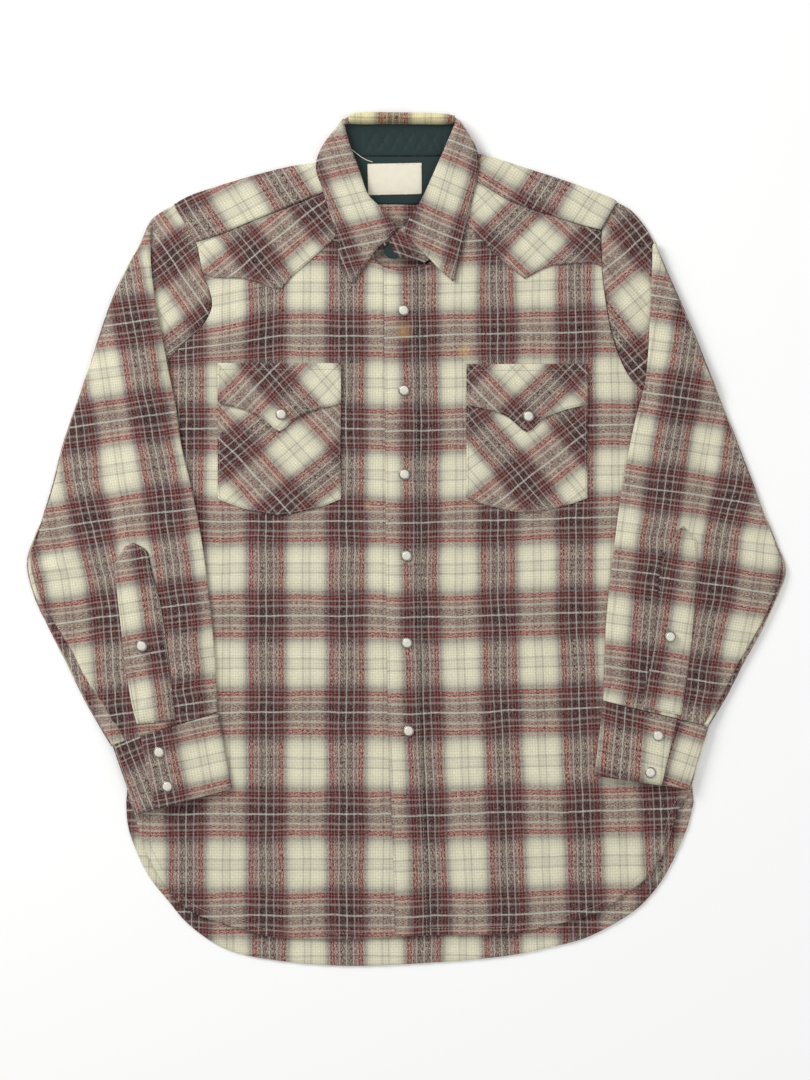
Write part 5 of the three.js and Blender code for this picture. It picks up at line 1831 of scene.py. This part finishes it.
makeCollarLeaf()
makeCollarRoll()
makeCollarUnder()


def makeCollarStand():
    under = lambda x, y: wingUnder(x, y) - form["gap"] - 1.6
    over = lambda x, y: wingUnder(x, y) - form["gap"]
    tab = lambda x, y, far: 2.2 * smooth(far, 0.5, 4) * np.exp(-(((x + 6) / 9) ** 2) - ((y - 290) / 8) ** 2)
    standRight = outlineOf(
        splineEdge([[-10, 303], [-17, 309], [-30, 325], [-44, 344], [-53, 367], [-62, 390]]),
        [[-70, 396]], movedEdge(neckRight[:-3], form["gap"]), [[-33, 284]],
    )
    standLeft = outlineOf(
        splineEdge([[44, 393], [31, 364], [17, 335], [4, 317], [-14, 306], [-18, 301]]),
        [[-18.5, 299], [-15.5, 293], [-11.5, 286], [-7, 281.6], [1, 281], [10, 280], [18, 277]],
        movedEdge(neckLeft, -form["gap"])[:-3][::-1], [[57, 394]],
    )
    for side, outline, lean in (("right", standRight, 24), ("left", standLeft, -18)):
        at = {"x": -20, "y": 290, "warp": lean, "weft": -66}
        piece = clothSheet(
            "collarStand" + side.title(), outline, over, turnedPlaid(at),
            pitch=2.6, under=under, extra=tab if side == "left" else None,
        )
        declare(piece, flannelFace, ["collar_stand"])
    # A small sheet of the dark lining lies low in the throat under the stand: partly the stand's real
    # lining showing there, partly painted shade for the dark gap between the collar ends.
    foot = [[-8.5, 285], [-7.5, 281.5], [-13, 280.5], [-19, 282.5]]
    inside = outlineOf([[-23, 287], [-20, 295], [-16, 299], [-13, 293]] + foot, step=2)
    piece = clothSheet(
        "throatLiningPaintedShade", inside, lambda x, y: over(x, y) - 1.7, straightPlaid(warpLeft),
        thickness=0.7, pitch=2,
    )
    declare(piece, liningFace, ["stand_lining"])
    back = outlineOf([[-64, 384.4], [-8, 384.9], [52, 386.2], [58, 396], [47, 420], [-57, 421], [-72, 396]])
    piece = clothSheet(
        "collarStandBack", back, level(3.9), straightPlaid(warpLeft), pitch=5, under=level(2.3),
    )
    declare(piece, flannelFace, ["collar_stand"])


makeCollarStand()

# The stand's dark inner side, sewn with a wide zigzag.
standStitch = {"low": 389, "high": 411, "peaks": 3, "from": -42, "to": 32}


def makeStandLining():
    upper = [[52, 400], [50, 417.5], [-8, 418.5], [-64, 417.5], [-65.5, 400]]
    outline = outlineOf([[-63, 384], [-8, 384.2], [50, 384.2]] + upper)
    z = standStitch
    count = z["peaks"] * 2
    first = []
    for i in range(count + 1):
        across = z["from"] + (z["to"] - z["from"]) * i / count
        first.append([across, z["high"] if i % 2 == 0 else z["low"]])
    second = [[x, z["low"] if y == z["high"] else z["high"]] for x, y in first]
    ends = [[[-45.6, 386], [-45.6, 416]], [[36.6, 386], [36.6, 416]]]
    seams = [first, second] + ends + [[[-60, 386.2], [48, 386.4]]]
    standTop = lambda x, y: 5.1 + relief(x, y, 0.6) + 1.4 * smooth(y, 398, 415)
    for row in [first, second] + ends:
        liningRows.append({"line": resample(row, 3), "top": standTop, "rise": 0.0})
    piece = clothSheet(
        "standInside", outline, standTop, straightPlaid(warpLeft), thickness=0.9, pitch=3, seams=seams,
        seamDepth=0.5,
    )
    return declare(piece, liningFace, ["stand_lining"])


makeStandLining()
print("stage: collar made")

# Snaps

snapSize = {
    "segments": 40,
    "rimRadius": 5.7,
    "rim": [(0.9, 0), (1, 0.35), (1, 0.8), (0.95, 1.3), (0.88, 1.5), (0.82, 1.35), (0.8, 0.9), (0.4, 0.85)],
    "capRadius": 4.5,
    "cap": [
        (0.97, 0.95), (1, 1.2), (0.98, 1.55), (0.9, 1.95), (0.74, 2.25), (0.5, 2.45), (0.25, 2.56),
        (0.04, 2.6)
    ],
}
snaps = tableOf(
    "node x y",
    ("snap_front_1", -3, 229), ("snap_front_2", -2.5, 149), ("snap_front_3", -2, 65),
    ("snap_front_4", 0, -16.5), ("snap_front_5", 0.4, -103.6), ("snap_front_6", 2, -191.6),
    ("snap_pocket_right", -125.3, 125), ("snap_pocket_left", 122, 123),
    ("snap_placket_right", -264.3, -106.5), ("snap_placket_left", 263.3, -97.3),
    ("snap_cuff_right_1", -247, -212.5), ("snap_cuff_right_2", -238.6, -246.5),
    ("snap_cuff_left_1", 251.2, -196), ("snap_cuff_left_2", 243.4, -232.7),
)


# A profile turned round its own axis, from a circle of Blender's, raised ring by ring.
def turnedPiece(name, profile, spots, segments):
    bpy.ops.mesh.primitive_circle_add(vertices=segments, radius=profile[0][0] * mm, fill_type="NOTHING")
    piece = bpy.context.object
    piece.name = name
    bpy.ops.object.mode_set(mode="EDIT")
    bpy.ops.mesh.select_all(action="SELECT")
    bpy.ops.transform.translate(value=(0, 0, profile[0][1] * mm))
    for (r0, z0), (r1, z1) in zip(profile, profile[1:]):
        scale = r1 / r0
        bpy.ops.mesh.extrude_region_move(TRANSFORM_OT_translate={"value": (0, 0, (z1 - z0) * mm)})
        bpy.ops.transform.resize(value=(scale, scale, 1))
    bpy.ops.mesh.edge_face_add()
    bpy.ops.mesh.select_all(action="SELECT")
    bpy.ops.mesh.normals_make_consistent(inside=False)
    bpy.ops.object.mode_set(mode="OBJECT")
    bpy.ops.object.shade_smooth()
    copies = [piece]
    for _ in spots[1:]:
        twin = piece.copy()
        twin.data = piece.data.copy()
        scene.collection.objects.link(twin)
        copies.append(twin)
    for twin, (x, y, z) in zip(copies, spots):
        twin.location = (x * mm, y * mm, z * mm)
    bpy.ops.object.select_all(action="DESELECT")
    for twin in copies:
        twin.select_set(True)
    bpy.context.view_layer.objects.active = copies[0]
    bpy.ops.object.transform_apply(location=True, rotation=True, scale=True)
    bpy.ops.object.join()
    return bpy.context.object


def makeSnaps():
    spots = []
    for s in snaps:
        low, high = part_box(s["node"])
        spots.append(((low[0] + high[0]) / 2 / mm, (low[1] + high[1]) / 2 / mm, low[2] / mm))
    for name, part, face in (("snapRims", "rim", rimFace), ("snapCaps", "cap", pearlFace)):
        radius = snapSize[part + "Radius"]
        profile = [(radius * share, z) for share, z in snapSize[part]]
        piece = turnedPiece(name, profile, spots, snapSize["segments"])
        declare(piece, face, [s["node"] for s in snaps])


makeSnaps()
print("stage: snaps made")

# Stitches

stitch = {"length": 2.5, "space": 0.7, "radius": 0.24, "lift": -0.02}


def makeStitches(name, rows, face):
    ring = 5
    profile = [(-0.5, 0.35), (-0.3, 0.95), (0.3, 0.95), (0.5, 0.35)]
    places, faces = [], []
    base = 0
    step = stitch["length"] + stitch["space"]
    for row in rows:
        line = resample(row["line"], step)
        x, y = line[:, 0], line[:, 1]
        z = row["top"](x, y) + row["rise"] + stitch["lift"]
        p = np.column_stack([x, y, z])
        a, b = p[:-1], p[1:]
        middle, along = (a + b) / 2, b - a
        along /= np.linalg.norm(along, axis=1)[:, None] + 1e-9
        side = np.column_stack([-along[:, 1], along[:, 0], np.zeros(len(along))])
        side /= np.linalg.norm(side, axis=1)[:, None] + 1e-9
        up = np.cross(along, side)
        for m, f, s, n in zip(middle, along, side, up):
            for t, r in profile:
                for k in range(ring):
                    turn = 2 * math.pi * k / ring
                    swing = (s * math.cos(turn) + n * math.sin(turn)) * r * stitch["radius"]
                    places.append(m + f * t * stitch["length"] + swing)
            for j in range(3):
                low, high = base + j * ring, base + (j + 1) * ring
                for k in range(ring):
                    q = (k + 1) % ring
                    faces.append((low + k, low + q, high + q, high + k))
            faces.append(tuple(base + k for k in range(ring))[::-1])
            faces.append(tuple(base + 3 * ring + k for k in range(ring)))
            base += 4 * ring
    piece = newObject(name, np.array(places), faces)
    piece.data.materials.append(face)
    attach(piece, "root")
    return piece


# A thin light piping is sewn across the lining beside the label.
def makePiping():
    path = resample(splineEdge([[-56.5, 391.5], [-52, 388], [-46, 383.4], [-40, 380], [-34, 378]], 1), 1)
    turn = np.linspace(0, 2 * math.pi, 7)[:-1]
    height = 5.75 - 0.9 * smooth(-path[:, 1], -386, -380)
    rows = [
        [[x + 0.3 * math.cos(a) * 0.5, y + 0.3 * math.cos(a) * 0.87, z + 0.3 * math.sin(a)] for a in turn]
        for (x, y), z in zip(path, height)
    ]
    piece = clothWall("neckPiping", rows, np.zeros((len(rows), 6, 2)), 0.2, closed=True)
    piece.data.materials.append(labelFace)
    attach(piece, "root")


makeStitches("topStitches", stitchRows, threadFace)
makeStitches("liningStitches", liningRows, liningThread)
makePiping()
print("stage: stitches made")

# Stage


def makeStage():
    bpy.ops.mesh.primitive_plane_add(size=9, location=(0, 0, -0.0006))
    floor = bpy.context.object
    floor.name = "paleFloor"
    material, _, shader = newMaterial("paleFloor")
    setInputs(shader, {"Base Color": stage["floorColor"], "Roughness": 0.9, "Specular IOR Level": 0.1})
    floor.data.materials.append(material)
    world = bpy.data.worlds.new("studio")
    world.use_nodes = True
    world.node_tree.nodes["Background"].inputs[0].default_value = (1, 1, 1, 1)
    world.node_tree.nodes["Background"].inputs[1].default_value = stage["worldStrength"]
    scene.world = world
    for given in lamps:
        light = bpy.data.lights.new(given["name"], "AREA")
        light.size = given["size"]
        light.energy = given["power"]
        lamp = bpy.data.objects.new(given["name"], light)
        lamp.location = given["place"]
        lamp.rotation_euler = (-Vector(given["place"])).to_track_quat("-Z", "Y").to_euler()
        scene.collection.objects.link(lamp)
    eye = bpy.data.cameras.new("eye")
    eye.sensor_fit = "VERTICAL"
    eye.sensor_height = 36
    eye.lens = stage["lens"]
    camera = bpy.data.objects.new("eye", eye)
    camera.location = (stage["eyeShiftX"] * mm, stage["eyeShiftY"] * mm, stage["eyeHeight"])
    scene.collection.objects.link(camera)
    scene.camera = camera


makeStage()
print("stage: set")
